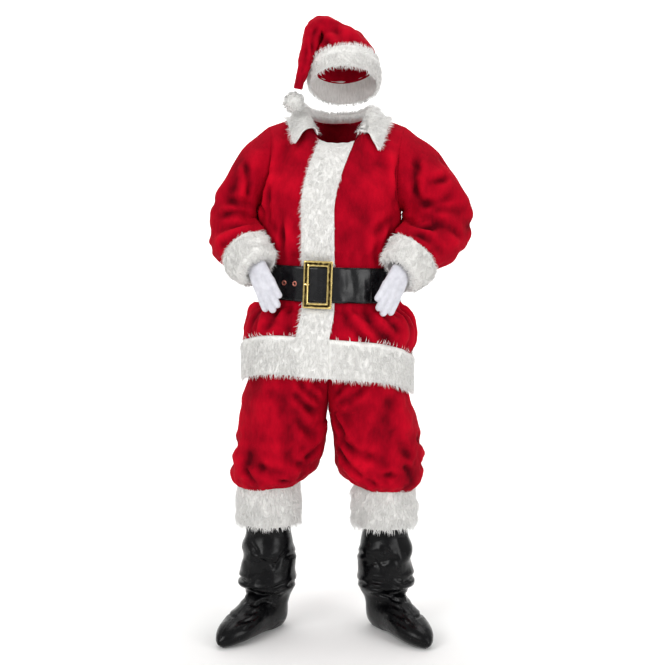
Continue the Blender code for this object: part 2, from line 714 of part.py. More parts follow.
def build_belt():
    half = BELT_HEIGHT / 2
    surface = belt_surface(strap_lift)
    rings = [k * BELT_STEP for k in range(int(tau / BELT_STEP + 0.5) + BELT_TAIL + 1)]
    rings += [turn + extra for turn in (0, tau) for extra in (-0.07, -0.035, 0.035, 0.07) if turn + extra > 0]
    sheet("belt_strap", "black_vinyl", surface, sorted(rings), (-half, half),
          0.0, BELT_THICK, seams=(True, False, False, False))
    front = belt_surface(lambda angle: BELT_LAYER + BELT_THICK)
    centre = front(0.0, 0.0)
    aside = (front(0.05, 0.0) - front(-0.05, 0.0)).normalized()
    up = (front(0.0, 0.04) - front(0.0, -0.04)).normalized()
    away = aside.cross(up).normalized()
    up = away.cross(aside)
    build_buckle(centre, aside, up, away)
    build_eyelets(front)


def build_buckle(centre, aside, up, away):
    """A frame with rounded corners, and a bar behind the strap down its middle."""
    def outline(width, height, radius, corner_steps=4):
        points = []
        for quadrant, (sx, sy) in enumerate(((1, 1), (-1, 1), (-1, -1), (1, -1))):
            for step in range(corner_steps + 1):
                angle = (quadrant + step / corner_steps) * pi / 2
                points.append((sx * (width / 2 - radius) + radius * cos(angle),
                               sy * (height / 2 - radius) + radius * sin(angle)))
        return points

    base = 0.0012
    outer = outline(BUCKLE_WIDTH, BUCKLE_HEIGHT, 0.007)
    inner = outline(BUCKLE_WIDTH - 2 * BUCKLE_BAR, BUCKLE_HEIGHT - 2 * BUCKLE_BAR, 0.003)
    ridge = outline(BUCKLE_WIDTH - 0.006, BUCKLE_HEIGHT - 0.006, 0.006)
    dip = outline(BUCKLE_WIDTH - 2 * BUCKLE_BAR + 0.006, BUCKLE_HEIGHT - 2 * BUCKLE_BAR + 0.006, 0.005)
    loops = [(outer, base), (outer, base + 0.003), (ridge, base + BUCKLE_THICK),
             (dip, base + BUCKLE_THICK), (inner, base + 0.003), (inner, base)]
    vertices, faces = [], []
    count = len(outer)
    for points, level in loops:
        for x, y in points:
            vertices.append(centre + aside * x + up * y + away * level)
    for k in range(len(loops)):
        for i in range(count):
            a, b = k * count + i, k * count + (i + 1) % count
            c = ((k + 1) % len(loops)) * count + (i + 1) % count
            d = ((k + 1) % len(loops)) * count + i
            faces.append((a, b, c, d))
    frame = add_solid("belt_buckle", "brass", vertices, faces)

    def box(name, x0, x1, y0, y1, z0, z1):
        corners = [centre + aside * x + up * y + away * z
                   for z in (z0, z1) for x, y in ((x0, y0), (x1, y0), (x1, y1), (x0, y1))]
        sides = [(0, 3, 2, 1), (4, 5, 6, 7), (0, 1, 5, 4), (1, 2, 6, 5), (2, 3, 7, 6), (3, 0, 4, 7)]
        return add_solid(name, "brass", corners, sides)

    rest = BUCKLE_HEIGHT / 2 - BUCKLE_BAR
    low = -BELT_THICK - 0.0004
    for level, (y0, y1) in enumerate(((-rest - 0.006, -rest - 0.0002), (rest + 0.0002, rest + 0.006))):
        join(frame, box("leg_%d" % level, -0.002, 0.002, y0, y1, low, base + 0.002))
    join(frame, box("bar", -0.002, 0.002, -rest - 0.006, rest + 0.006, low, low + 0.0014))
    build_prong(centre, aside, up, away, base)


def join(item, other):
    """Unite two closed solids for good and drop the second."""
    union = item.modifiers.new("union", "BOOLEAN")
    union.operation = "UNION"
    union.solver = "EXACT"
    union.object = other
    bake(item)
    bpy.data.objects.remove(other, do_unlink=True)


def cut(item, other):
    less = item.modifiers.new("cut", "BOOLEAN")
    less.operation = "DIFFERENCE"
    less.solver = "EXACT"
    less.object = other
    bake(item)
    bpy.data.objects.remove(other, do_unlink=True)


def bake(item):
    graph = bpy.context.evaluated_depsgraph_get()
    mesh = bpy.data.meshes.new_from_object(item.evaluated_get(graph))
    old = item.data
    item.modifiers.clear()
    item.data = mesh
    bpy.data.meshes.remove(old)


def build_prong(centre, aside, up, away, base):
    """The tip of the prong, out of its hole and over the bar on the wearer's right."""
    rows = [(-0.0245, base + 0.0046, 0.0016, 0.0026), (-0.0270, base + 0.0068, 0.0017, 0.0027),
            (-0.0330, base + 0.0073, 0.0018, 0.0026), (-0.0385, base + 0.0070, 0.0014, 0.0020),
            (-0.0400, base + 0.0068, 0.0006, 0.0008)]
    vertices, faces, count = [], [], 8
    for x, level, thick, wide in rows:
        for i in range(count):
            turn = tau * i / count
            vertices.append(centre + aside * x + up * wide * cos(turn) + away * (level + thick * sin(turn)))
    for k in range(len(rows) - 1):
        for i in range(count):
            a, b = k * count + i, k * count + (i + 1) % count
            faces.append((a, b, b + count, a + count))
    faces.append(tuple(reversed(range(count))))
    faces.append(tuple(range((len(rows) - 1) * count, len(rows) * count)))
    add_solid("belt_prong", "brass", vertices, faces)


def build_eyelets(front):
    count = 16
    first = BUCKLE_WIDTH / 2 + 0.018
    for number in range(2):
        angle = -(first + number * EYELET_PITCH) / 0.186
        centre = belt_surface(strap_lift)(tau + angle, 0.0)
        aside = (front(angle + 0.02, 0.0) - front(angle - 0.02, 0.0)).normalized()
        up = (front(angle, 0.02) - front(angle, -0.02)).normalized()
        away = aside.cross(up).normalized()
        low = BELT_THICK + 3 * GAP
        profile = [(EYELET_INNER, low), (EYELET_OUTER, low), (EYELET_OUTER - 0.0010, low + 0.0009),
                   (EYELET_INNER + 0.0012, low + 0.0011)]
        vertices, faces = [], []
        for radius, level in profile:
            for i in range(count):
                turn = tau * i / count
                vertices.append(centre + aside * radius * cos(turn) + up * radius * sin(turn) + away * level)
        for k in range(len(profile)):
            for i in range(count):
                a, b = k * count + i, k * count + (i + 1) % count
                c = ((k + 1) % len(profile)) * count + (i + 1) % count
                d = ((k + 1) % len(profile)) * count + i
                faces.append((a, b, c, d))
        add_solid("belt_eyelet_%d" % (number + 1), "copper", vertices, faces)


def build_trousers():
    for name, table in (("left", LEG_LEFT), ("right", LEG_RIGHT)):
        end = table[-1].height
        side = 1 if name == "left" else -1
        for face, front in (("front", True), ("back", False)):
            def surface(u, v, table=table, front=front):
                return trouser(table, front, u, v)

            outward = -side if front else side
            inner, outer = (-CLOTH, 0.0) if outward > 0 else (0.0, CLOTH)
            def edge(u, v, normal, side=side, front=front, outward=outward):
                if u > 1 - 1e-6 and v > CROTCH:
                    rise = smooth((v - CROTCH) / 0.10)
                    ahead = -rise if front else rise
                    return Vector((-side * (1 - rise), ahead, 0)).normalized() * outward
                if u > 1 - 1e-6 or u < 1e-6:
                    return Vector((side if u < 0.5 else -side, 0, 0)) * outward
                return normal

            levels = [end, end + 0.012, 0.486, 0.505, 0.535, 0.585, 0.635, CROTCH - 0.012,
                      CROTCH + 0.006, 0.705, 0.735, 0.780, 0.840, 0.920, WAIST]
            sheet("trouser_%s_%s" % (name, face), "red_plush", surface, spread(0, 1, 8), levels,
                  inner, outer, edge_normal=edge, u_domain=(0, 1))

        def fur(u, v, table=table, end=end, side=side):
            slip = 1 + 0.05 * v
            point = leg_ring(table, u * side, end)
            centre = Vector((table[-1].centre, 0, end))
            point = centre + (point - centre) * (0.93 * slip)
            point.z = end - LEG_CUFF * v
            return point

        sheet("trouser_cuff_fur_" + name, "white_fur", fur, spread(0, tau, 16), spread(0, 1, 3), 0.004,
              -FUR * 0.8, closed=True)
    build_waistband()


def build_waistband():
    def surface(u, v):
        row = LEG_LEFT[0]
        depth = row.front if sin(u) > 0 else row.back
        return Vector((row.half * cos(u), -depth * sin(u), v))

    sheet("trouser_waistband", "red_plush", surface, spread(0, tau, 24), (WAIST, WAIST + WAISTBAND),
          0.0, 0.004, closed=True)


def build_boots():
    last = len(BOOT) - 1
    for name, place, turn_out in (("left", BOOT_LEFT_PLACE, BOOT_LEFT_TURN),
                                  ("right", BOOT_RIGHT_PLACE, BOOT_RIGHT_TURN)):
        def surface(u, v, place=place, turn_out=turn_out):
            return boot(place, turn_out, u, v)

        rows = [0, 0.5, 1, 1.5] + spread(2, last, 14)
        for half, start in (("a", 0.0), ("b", pi)):
            sheet("boot_cover_%s_%s" % (name, half), "black_vinyl", surface, spread(start, start + pi, 6),
                  rows, 0.0, VINYL)


def build_hat():
    last = len(HAT) - 1
    levels = spread(0.97, last, 12)
    domain = (-0.12, last)
    sheet("hat_front", "red_plush", hat, spread(0, pi, 7), levels, -CLOTH, 0.0, v_domain=domain)
    sheet("hat_back", "red_plush", hat, spread(pi, tau, 7), levels, -CLOTH, 0.0, v_domain=domain)
    sheet("hat_band_fur", "white_fur", hat, spread(0, tau, 14), spread(-0.12, 0.95, 3), -CLOTH, FUR,
          closed=True, v_domain=domain)
    work = bmesh.new()
    bmesh.ops.create_icosphere(work, subdivisions=2, radius=POMPOM_RADIUS)
    for vertex in work.verts:
        vertex.co += POMPOM
    vertices = [vertex.co.copy() for vertex in work.verts]
    faces = [tuple(vertex.index for vertex in face.verts) for face in work.faces]
    work.free()
    add_solid("hat_pompom", "white_fur", vertices, faces)


def capsule(name, start, end, radius0, radius1, flatten, thick):
    """A tapered rod with round ends; flatten squeezes it along the hand's thickness."""
    path = end - start
    length = path.length
    direction = path / length
    side = direction.cross(thick).normalized()
    over = side.cross(direction)
    rings = [(-radius0 * sin(angle), radius0 * cos(angle)) for angle in (radians(45),)]
    rings += [(0.0, radius0), (length, radius1)]
    rings += [(length + radius1 * sin(angle), radius1 * cos(angle)) for angle in (radians(45),)]
    vertices = []
    for distance, radius in rings:
        for i in range(FINGER_SIDES):
            turn = tau * (i + 0.5) / FINGER_SIDES
            vertices.append(start + direction * distance + side * radius * cos(turn)
                            + over * radius * flatten * sin(turn))
    vertices += [start - direction * radius0, end + direction * radius1]
    faces = []
    for k in range(len(rings) - 1):
        for i in range(FINGER_SIDES):
            a, b = k * FINGER_SIDES + i, k * FINGER_SIDES + (i + 1) % FINGER_SIDES
            faces.append((a, b, b + FINGER_SIDES, a + FINGER_SIDES))
    low, high = len(vertices) - 2, len(vertices) - 1
    top = (len(rings) - 1) * FINGER_SIDES
    for i in range(FINGER_SIDES):
        faces.append((low, (i + 1) % FINGER_SIDES, i))
        faces.append((high, top + i, top + (i + 1) % FINGER_SIDES))
    return add_solid(name, "white_knit", vertices, faces)


def hand_solid(name, hand, less):
    """The hand's form, less being how far it lies inside the glove's outside."""
    along = hand.aim.normalized()
    thick = (hand.facing - along * hand.facing.dot(along)).normalized()
    aside = along.cross(thick).normalized()

    def place(x, y, z):
        return hand.palm + aside * x * hand.mirror + along * y + thick * z

    back = (hand.sleeve_from - hand.palm).normalized() * (0.06 if less > 0 else 0.0)
    item = capsule(name + "_wrist", hand.sleeve_from + back, place(0, 0.006, 0), WRIST_RADIUS - less,
                   WRIST_RADIUS - less, 0.8, thick)
    for row in HAND:
        flatten = 0.86 if row.name.startswith("palm") else 1.0
        rod = capsule(name + "_" + row.name, place(row.x0, row.y0, row.z0), place(row.x1, row.y1, row.z1),
                      row.r0 - less, row.r1 - less, flatten, thick)
        join(item, rod)
    item.name = name
    return item


def build_gloves():
    for hand in HANDS:
        glove = hand_solid("glove_" + hand.name, hand, 0.0)
        cut(glove, hand_solid("hollow_" + hand.name, hand, KNIT))


BODY_TREE = jacket_tree()


def main():
    clear_scene()
    build_jacket()
    build_sleeves()
    build_fur_trim()
    build_belt()
    build_trousers()
    build_boots()
    build_hat()
    build_gloves()


main()
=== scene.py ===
import bpy
import numpy as np
from math import cos, pi, radians, sin, tau
from mathutils import Matrix, Vector
from mathutils.bvhtree import BVHTree


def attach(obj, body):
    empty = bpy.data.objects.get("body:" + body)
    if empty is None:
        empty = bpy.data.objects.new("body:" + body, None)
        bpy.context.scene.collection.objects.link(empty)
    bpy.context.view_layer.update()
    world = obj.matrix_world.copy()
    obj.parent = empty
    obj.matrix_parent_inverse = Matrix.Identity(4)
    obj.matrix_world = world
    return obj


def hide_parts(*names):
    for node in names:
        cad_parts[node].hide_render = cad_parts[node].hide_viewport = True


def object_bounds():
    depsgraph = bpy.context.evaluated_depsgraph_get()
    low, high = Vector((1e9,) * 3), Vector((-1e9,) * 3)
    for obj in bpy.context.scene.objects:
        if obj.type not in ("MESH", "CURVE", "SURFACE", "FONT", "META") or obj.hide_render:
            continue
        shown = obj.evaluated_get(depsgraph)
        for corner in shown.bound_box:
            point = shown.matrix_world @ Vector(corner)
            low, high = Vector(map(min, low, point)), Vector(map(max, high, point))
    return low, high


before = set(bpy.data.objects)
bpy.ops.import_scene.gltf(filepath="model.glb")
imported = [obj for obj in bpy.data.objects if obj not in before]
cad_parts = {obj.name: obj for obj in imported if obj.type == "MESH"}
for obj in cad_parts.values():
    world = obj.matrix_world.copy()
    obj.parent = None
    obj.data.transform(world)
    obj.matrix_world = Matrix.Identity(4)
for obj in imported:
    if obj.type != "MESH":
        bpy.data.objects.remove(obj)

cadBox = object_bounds()
neckAt = np.array((0.030, 0.015, 1.560))  # the neck opening as measured from the floor below the wearer
underarm = 1.300
beltCentre = 1.087
cloth = 0.0022


# --- small maths on arrays: the last axis of a point array is x, y, z

def smooth(value):
    value = np.clip(value, 0.0, 1.0)
    return value * value * (3 - 2 * value)


def hump(value, middle, half):
    return 1 - smooth(np.abs(value - middle) / half)


def through(rows, t):
    # a smooth curve through evenly spaced rows
    rows = np.asarray(rows, float)
    t = np.asarray(t, float)
    last = len(rows) - 1
    i = np.clip(t.astype(int), 0, last - 1)
    f = (t - i).reshape(t.shape + (1,) * (rows.ndim - 1))
    p0, p1, p2, p3 = rows[np.maximum(i - 1, 0)], rows[i], rows[i + 1], rows[np.minimum(i + 2, last)]
    m1, m2 = (p2 - p0) * 0.5, (p3 - p1) * 0.5
    return (p1 * (2 * f ** 3 - 3 * f ** 2 + 1) + m1 * (f ** 3 - 2 * f ** 2 + f)
            + p2 * (3 * f ** 2 - 2 * f ** 3) + m2 * (f ** 3 - f ** 2))


def stack(x, y, z):
    return np.stack(np.broadcast_arrays(x, y, z), axis=-1).astype(float)


def circle(count):
    return np.linspace(0, tau, count + 1)[:-1]


def unit(vectors):
    return vectors / np.maximum(np.linalg.norm(vectors, axis=-1, keepdims=True), 1e-9)


def gridNormals(points, closed=False):
    if closed:
        across = np.roll(points, -1, axis=1) - np.roll(points, 1, axis=1)
    else:
        across = np.gradient(points, axis=1)
    return unit(np.cross(across, np.gradient(points, axis=0)))


def facingOut(points, away, closed=True, rows=None):
    # the normals on the side that away points to, and whether the grid's own lie on the other side
    normals = gridNormals(points, closed)
    sign = np.sign(np.sum(normals * away, axis=-1)[:rows].mean())
    return normals * sign, sign < 0


def rippled(points, size, seed, waves=7):
    # smooth random waves about size metres long, from -1 to 1
    rng = np.random.default_rng(seed)
    total = np.zeros(points.shape[:-1])
    for _ in range(waves):
        way = unit(rng.normal(size=3)) * tau / size * rng.uniform(0.6, 1.5)
        total += np.sin(points @ way + rng.uniform(0, tau))
    return total / waves ** 0.5 * 0.7


# --- creases: each is a line laid on the cloth, seen from one side, and pressed in or raised

lookFrom = {"front": (0, 1, -1), "back": (0, 1, 1), "left": (1, 0, 1), "right": (1, 0, -1)}


def creaseLine(points, normals, side, a0, h0, a1, h1, bow):
    along, facing, sign = lookFrom[side]
    flat = points.reshape(-1, 3)
    towards = normals.reshape(-1, 3)[:, facing] * sign > 0.05
    shown = flat[towards] if towards.any() else flat
    line = []
    for s in np.linspace(0, 1, 11):
        sideways = bow * 4 * s * (1 - s)
        length = max(((a1 - a0) ** 2 + (h1 - h0) ** 2) ** 0.5, 1e-6)
        a = a0 + (a1 - a0) * s - (h1 - h0) / length * sideways
        h = h0 + (h1 - h0) * s + (a1 - a0) / length * sideways
        gap = (shown[:, along] - a) ** 2 + (shown[:, 2] - h) ** 2
        line.append(shown[int(np.argmin(gap))])
    return np.array(line)


def lineDistance(points, line):
    best = np.full(points.shape[:-1], 9.0)
    place = np.zeros(points.shape[:-1])
    count = len(line) - 1
    for k in range(count):
        start, step = line[k], line[k + 1] - line[k]
        s = np.clip(((points - start) @ step) / max(step @ step, 1e-12), 0, 1)
        away = np.linalg.norm(points - start - s[..., None] * step, axis=-1)
        nearer = away < best
        best = np.where(nearer, away, best)
        place = np.where(nearer, (k + s) / count, place)
    return best, place


def creased(points, normals, creases, seed):
    # by side, rows in millimetres: across, up, to across, to up, bow, width and depth
    move = np.zeros(points.shape[:-1])
    rng = np.random.default_rng(seed)
    for side, row in [(side, row) for side, table in creases.items() for row in table]:
        a0, h0, a1, h1, bow, width, depth = (value / 1000 for value in row)
        line = creaseLine(points, normals, side, a0, h0, a1, h1, bow)
        away, place = lineDistance(points, line)
        ends = smooth(np.minimum(place, 1 - place) * 3.2 + 0.12)
        uneven = 0.8 + 0.3 * np.sin(place * rng.uniform(5, 9) + rng.uniform(0, tau))
        trough = np.exp(-(away / width) ** 2) - 0.42 * np.exp(-((away - 2.0 * width) / (1.15 * width)) ** 2)
        move -= depth * trough * ends * uneven
    return move


# --- meshes

def meshObject(name, vertices, faces):
    size = faces.shape[1]
    mesh = bpy.data.meshes.new(name)
    mesh.vertices.add(len(vertices))
    mesh.vertices.foreach_set("co", (vertices - neckAt).astype(np.float32).ravel())
    mesh.loops.add(faces.size)
    mesh.loops.foreach_set("vertex_index", faces.astype(np.int32).ravel())
    mesh.polygons.add(len(faces))
    mesh.polygons.foreach_set("loop_start", np.arange(0, faces.size, size, dtype=np.int32))
    mesh.update(calc_edges=True)
    mesh.validate()
    item = bpy.data.objects.new(name, mesh)
    bpy.context.scene.collection.objects.link(item)
    return item


def gridFaces(rows, columns, closed):
    j, i = np.meshgrid(np.arange(rows - 1), np.arange(columns if closed else columns - 1), indexing="ij")
    a = j * columns + i
    b = j * columns + (i + 1) % columns
    return np.stack([a, b, b + columns, a + columns], axis=-1).reshape(-1, 4)


def paint(item, name, values):
    layer = item.data.attributes.new(name, "FLOAT", "POINT")
    layer.data.foreach_set("value", np.asarray(values, np.float32).ravel())


def only(item):
    for other in bpy.context.selected_objects:
        other.select_set(False)
    item.select_set(True)
    bpy.context.view_layer.objects.active = item


def closeEnds(item):
    only(item)
    bpy.ops.object.mode_set(mode="EDIT")
    bpy.ops.mesh.select_all(action="SELECT")
    bpy.ops.mesh.fill_holes(sides=0)
    bpy.ops.mesh.normals_make_consistent(inside=False)
    bpy.ops.object.mode_set(mode="OBJECT")


def bake(item, kind, **settings):
    only(item)
    step = item.modifiers.new(kind, kind)
    for key, value in settings.items():
        setattr(step, key, value)
    bpy.ops.object.modifier_apply(modifier=step.name)


def sewn(name, points, closed=False, fold=None, wall=cloth, weld=False, flip=False):
    # a grid of cloth given its wall, which grows inwards from the points
    rows, columns = points.shape[:2]
    faces = gridFaces(rows, columns, closed)
    item = meshObject(name, points.reshape(-1, 3), faces[:, ::-1] if flip else faces)
    # fold carries painted shade and painted highlight by the crease depth, read by the plush colour
    if fold is not None:
        paint(item, "fold", fold)
    if weld:
        bake(item, "WELD", merge_threshold=0.0001)
    bake(item, "SOLIDIFY", thickness=wall, offset=-1.0, use_even_offset=False)
    item.data.shade_smooth()
    return item


def finish(item, material, nodes):
    # the piece takes its material and hangs from the root, and the model's parts it stands for are hidden
    item.data.materials.clear()
    item.data.materials.append(material)
    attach(item, "root")
    if nodes:
        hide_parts(*nodes)


# --- materials

def linear(hexColour):
    values = [int(hexColour[k:k + 2], 16) / 255 for k in (1, 3, 5)]
    return [v / 12.92 if v <= 0.04045 else ((v + 0.055) / 1.055) ** 2.4 for v in values] + [1.0]


def addNode(tree, kind, settings=None, links=None):
    node = tree.nodes.new(kind)
    for key, value in (settings or {}).items():
        if isinstance(key, int) or key in node.inputs:
            node.inputs[key].default_value = value
        else:
            setattr(node, key, value)
    for key, source in (links or {}).items():
        tree.links.new(source, node.inputs[key])
    return node


def startMaterial(name, **inputs):
    made = bpy.data.materials.new(name)
    made.use_nodes = True
    tree = made.node_tree
    shader = tree.nodes["Principled BSDF"]
    for key, value in inputs.items():
        shader.inputs[key.replace("_", " ")].default_value = value
    return made, tree, shader, addNode(tree, "ShaderNodeTexCoord").outputs["Object"]


def noise(tree, place, scale, detail, roughness=0.5):
    return addNode(tree, "ShaderNodeTexNoise", {"Scale": scale, "Detail": detail, "Roughness": roughness},
                   {"Vector": place}).outputs["Fac"]


def stretchedPlace(tree, place, upward):
    node = addNode(tree, "ShaderNodeMapping", {"Scale": (1.0, 1.0, upward)}, {"Vector": place})
    return node.outputs["Vector"]


def scaledSum(tree, value, factor, added):
    # value * factor + added, where added is a number or another node's output
    fixed, linked = ({2: added}, {}) if isinstance(added, float) else ({}, {2: added})
    settings = {"operation": "MULTIPLY_ADD", 1: factor, **fixed}
    node = addNode(tree, "ShaderNodeMath", settings, {0: value, **linked})
    return node.outputs[0]


def glossFrom(tree, shader, source, low, high):
    settings = {"From Min": 0.3, "From Max": 0.7, "To Min": low, "To Max": high}
    node = addNode(tree, "ShaderNodeMapRange", settings, {"Value": source})
    tree.links.new(node.outputs["Result"], shader.inputs["Roughness"])


def colourFrom(tree, shader, factor, stops):
    node = addNode(tree, "ShaderNodeValToRGB", links={"Fac": factor})
    points = node.color_ramp.elements
    while len(points) < len(stops):
        points.new(0.5)
    for point, (place, colour) in zip(points, stops):
        point.position = place
        point.color = linear(colour)
    tree.links.new(node.outputs["Color"], shader.inputs["Base Color"])


def bump(tree, shader, height, strength, depth, below=None):
    links = {"Height": height}
    if below:
        links["Normal"] = below
    node = addNode(tree, "ShaderNodeBump", {"Strength": strength, "Distance": depth}, links)
    tree.links.new(node.outputs["Normal"], shader.inputs["Normal"])
    return node.outputs["Normal"]


def plushMaterial():
    # knitted polyester plush: a short dense pile, crushed in patches, with painted highlights on its fold
    # crests and painted shade in its troughs
    values = {"deep": "#50000C", "body": "#980119", "bright": "#C20622", "patch": 0.075, "pile": 0.0028}
    made, tree, shader, place = startMaterial(
        "plushKnit", Roughness=0.9, Specular_IOR_Level=0.06, Sheen_Weight=0.30, Sheen_Roughness=0.4,
        Sheen_Tint=linear("#F02038"))
    patches = noise(tree, place, 1 / values["patch"], 3.0)
    streaks = noise(tree, stretchedPlace(tree, place, 0.35), 110.0, 3.0, 0.6)
    fold = addNode(tree, "ShaderNodeAttribute", {"attribute_name": "fold"}).outputs["Fac"]
    leaning = scaledSum(tree, streaks, 0.22, scaledSum(tree, patches, 0.36, 0.19))
    # painted shade and highlight: the fold attribute darkens the red in the creases and brightens it on their
    # crests, added to the pile's random patches and streaks
    napAndPaintedFoldShade = scaledSum(tree, fold, 0.30, leaning)
    colourFrom(tree, shader, napAndPaintedFoldShade, [(0.16, values["deep"]), (0.48, values["body"]), (0.80, values["bright"])])
    rough = bump(tree, shader, noise(tree, place, 1 / values["pile"], 2.0), 0.55, 0.0012)
    bump(tree, shader, streaks, 0.35, 0.003, rough)
    return made


def furMaterial(name, shade, light, grain):
    # long-pile acrylic fur, brushed: soft white streaked with painted grey shade, as between its locks
    made, tree, shader, place = startMaterial(name, Roughness=0.75, Specular_IOR_Level=0.3, Sheen_Weight=0.25)
    hairs = noise(tree, stretchedPlace(tree, place, 0.22), 1 / grain, 3.0, 0.65)
    # painted shade: the shade colour stands for the shade between the locks
    colourFrom(tree, shader, hairs, [(0.30, shade), (0.62, light)])
    bump(tree, shader, hairs, 0.6, 0.004)
    return made


def vinylMaterial(name, dark, light, roughness, grain, shine):
    # plastic-coated cloth, calendered: near black, a glossy skin with a fine grain and soft wrinkles
    made, tree, shader, place = startMaterial(name, Specular_IOR_Level=shine)
    cells = addNode(tree, "ShaderNodeTexVoronoi", {"Scale": 1 / grain}, {"Vector": place}).outputs["Distance"]
    scuffs = noise(tree, place, 32.0, 4.0)
    colourFrom(tree, shader, scuffs, [(0.3, dark), (0.75, light)])
    glossFrom(tree, shader, scuffs, roughness - 0.06, roughness + 0.1)
    bump(tree, shader, scuffs, 0.35, 0.003, bump(tree, shader, cells, 0.15, 0.0004))
    return made


def metalMaterial(name, dark, light, roughness, wear):
    # plated casting, aged: random tarnish darkens and dulls it in spots, and a painted dark reflection darkens
    # the middle of its bars
    made, tree, shader, place = startMaterial(name, Metallic=1.0)
    tarnish = noise(tree, place, 1 / wear, 5.0, 0.6)
    paintedDarkReflection = addNode(tree, "ShaderNodeAttribute", {"attribute_name": "paintedDarkReflection"}).outputs["Fac"]
    # painted reflection: where the attribute is high the metal is darkened as if it mirrored dark surroundings
    colourFrom(tree, shader, scaledSum(tree, paintedDarkReflection, -0.62, tarnish), [(0.0, dark), (0.45, light)])
    glossFrom(tree, shader, tarnish, roughness + 0.12, roughness)
    bump(tree, shader, tarnish, 0.12, 0.0006)
    return made


def knitMaterial():
    # fine nylon knit, as on dress gloves: matt, a shade of blue in its white
    made, tree, shader, place = startMaterial("nylonKnit", Roughness=0.8, Sheen_Weight=0.2)
    ribs = addNode(tree, "ShaderNodeTexWave", {"Scale": 260.0, "Distortion": 0.6, "bands_direction": "X"},
                   {"Vector": place}).outputs["Fac"]
    colourFrom(tree, shader, noise(tree, place, 60.0, 3.0), [(0.3, "#C4C4CC"), (0.7, "#D8D8DF")])
    bump(tree, shader, ribs, 0.25, 0.0004)
    return made


plush = plushMaterial()
# the fur ground is painted a greyer cream than the pile: painted shade deep between the hairs
furBacking = furMaterial("furGroundWithPaintedShade", "#DCDBD7", "#F0EFEC", 0.0045)
furPile = furMaterial("furGuardHair", "#EEEDEA", "#FAF9F7", 0.006)
beltVinyl = vinylMaterial("beltVinyl", "#050507", "#101013", 0.24, 0.0016, 0.34)
bootVinyl = vinylMaterial("bootVinyl", "#020203", "#08080A", 0.22, 0.0020, 0.18)
brass = metalMaterial("agedBrass", "#1C1003", "#F0D488", 0.14, 0.012)
copper = metalMaterial("copperPlate", "#84382C", "#D08474", 0.28, 0.006)
knit = knitMaterial()
print("materials made")


# --- fur: locks of hair, each a bent three-sided spike, rooted on a surface and combed one way

def growFur(name, points, normals, comb, settings, closed=False):
    rng = np.random.default_rng(settings["seed"])
    comb = np.broadcast_to(np.asarray(comb, float), points.shape)
    if closed:
        points, normals, comb = (np.concatenate([g, g[:, :1]], axis=1) for g in (points, normals, comb))
    a, b, c, d = points[:-1, :-1], points[:-1, 1:], points[1:, 1:], points[1:, :-1]
    areas = np.linalg.norm(np.cross(c - a, d - b), axis=-1).ravel() / 2
    count = int(areas.sum() * 1e4 * settings["perCm2"])
    cell = rng.choice(len(areas), size=count, p=areas / areas.sum())
    row, col = np.unravel_index(cell, a.shape[:2])
    s, t = rng.random(count)[:, None], rng.random(count)[:, None]

    def blend(grid):
        low = grid[row, col] * (1 - s) + grid[row, col + 1] * s
        high = grid[row + 1, col] * (1 - s) + grid[row + 1, col + 1] * s
        return low * (1 - t) + high * t

    root, out, way = blend(points), unit(blend(normals)), blend(comb)
    way = unit(way - out * np.sum(way * out, axis=-1, keepdims=True))
    aside = np.cross(out, way)
    sway = (0.42 * rippled(root, settings["lock"], settings["seed"] + 1)
            + rng.normal(0, settings["stray"], count))
    way = way * np.cos(sway)[:, None] + aside * np.sin(sway)[:, None]
    aside = np.cross(out, way)
    length = settings["length"] * rng.uniform(0.65, 1.15, count)
    length = length * (1 + 0.12 * rippled(root, settings["lock"] * 1.7, settings["seed"] + 2))
    lift = settings["lift"] * rng.uniform(0.6, 1.35, count)
    first = unit(way * (1 - lift[:, None] * 0.5) + out * lift[:, None])
    last = unit(way + out * lift[:, None] * settings["droop"])
    middle = root + first * length[:, None] * 0.45
    tip = middle + last * length[:, None] * 0.55
    half = settings["thick"] * rng.uniform(0.7, 1.2, count)
    corners = [(cos(k * tau / 3 + pi / 2), sin(k * tau / 3 + pi / 2)) for k in range(3)]
    low = [root - out * 0.0015 + (aside * x + out * y * 0.5) * half[:, None] for x, y in corners]
    mid = [middle + (aside * x + out * y * 0.5) * half[:, None] * 0.75 for x, y in corners]
    vertices = np.stack(low + mid + [tip], axis=1).reshape(-1, 3)
    pattern = np.array([(0, 1, 4), (0, 4, 3), (1, 2, 5), (1, 5, 4), (2, 0, 3), (2, 3, 5),
                        (3, 4, 6), (4, 5, 6), (5, 3, 6)])
    faces = (pattern[None] + 7 * np.arange(count)[:, None, None]).reshape(-1, 3)
    item = meshObject(name, vertices, faces)
    item.data.shade_smooth()
    finish(item, furPile, ())
    return item


def furPiece(names, grid, piled, comb, settings, node, closed=False, wall=0.004, flip=False):
    # names of the ground and the pile; piled is the part of the grid, with its normals, that hair grows on
    pile = growFur(names[1], *piled, comb, settings, closed)
    item = sewn(names[0], grid, closed, wall=wall, flip=flip)
    finish(item, furBacking, (node,))


# --- jacket body

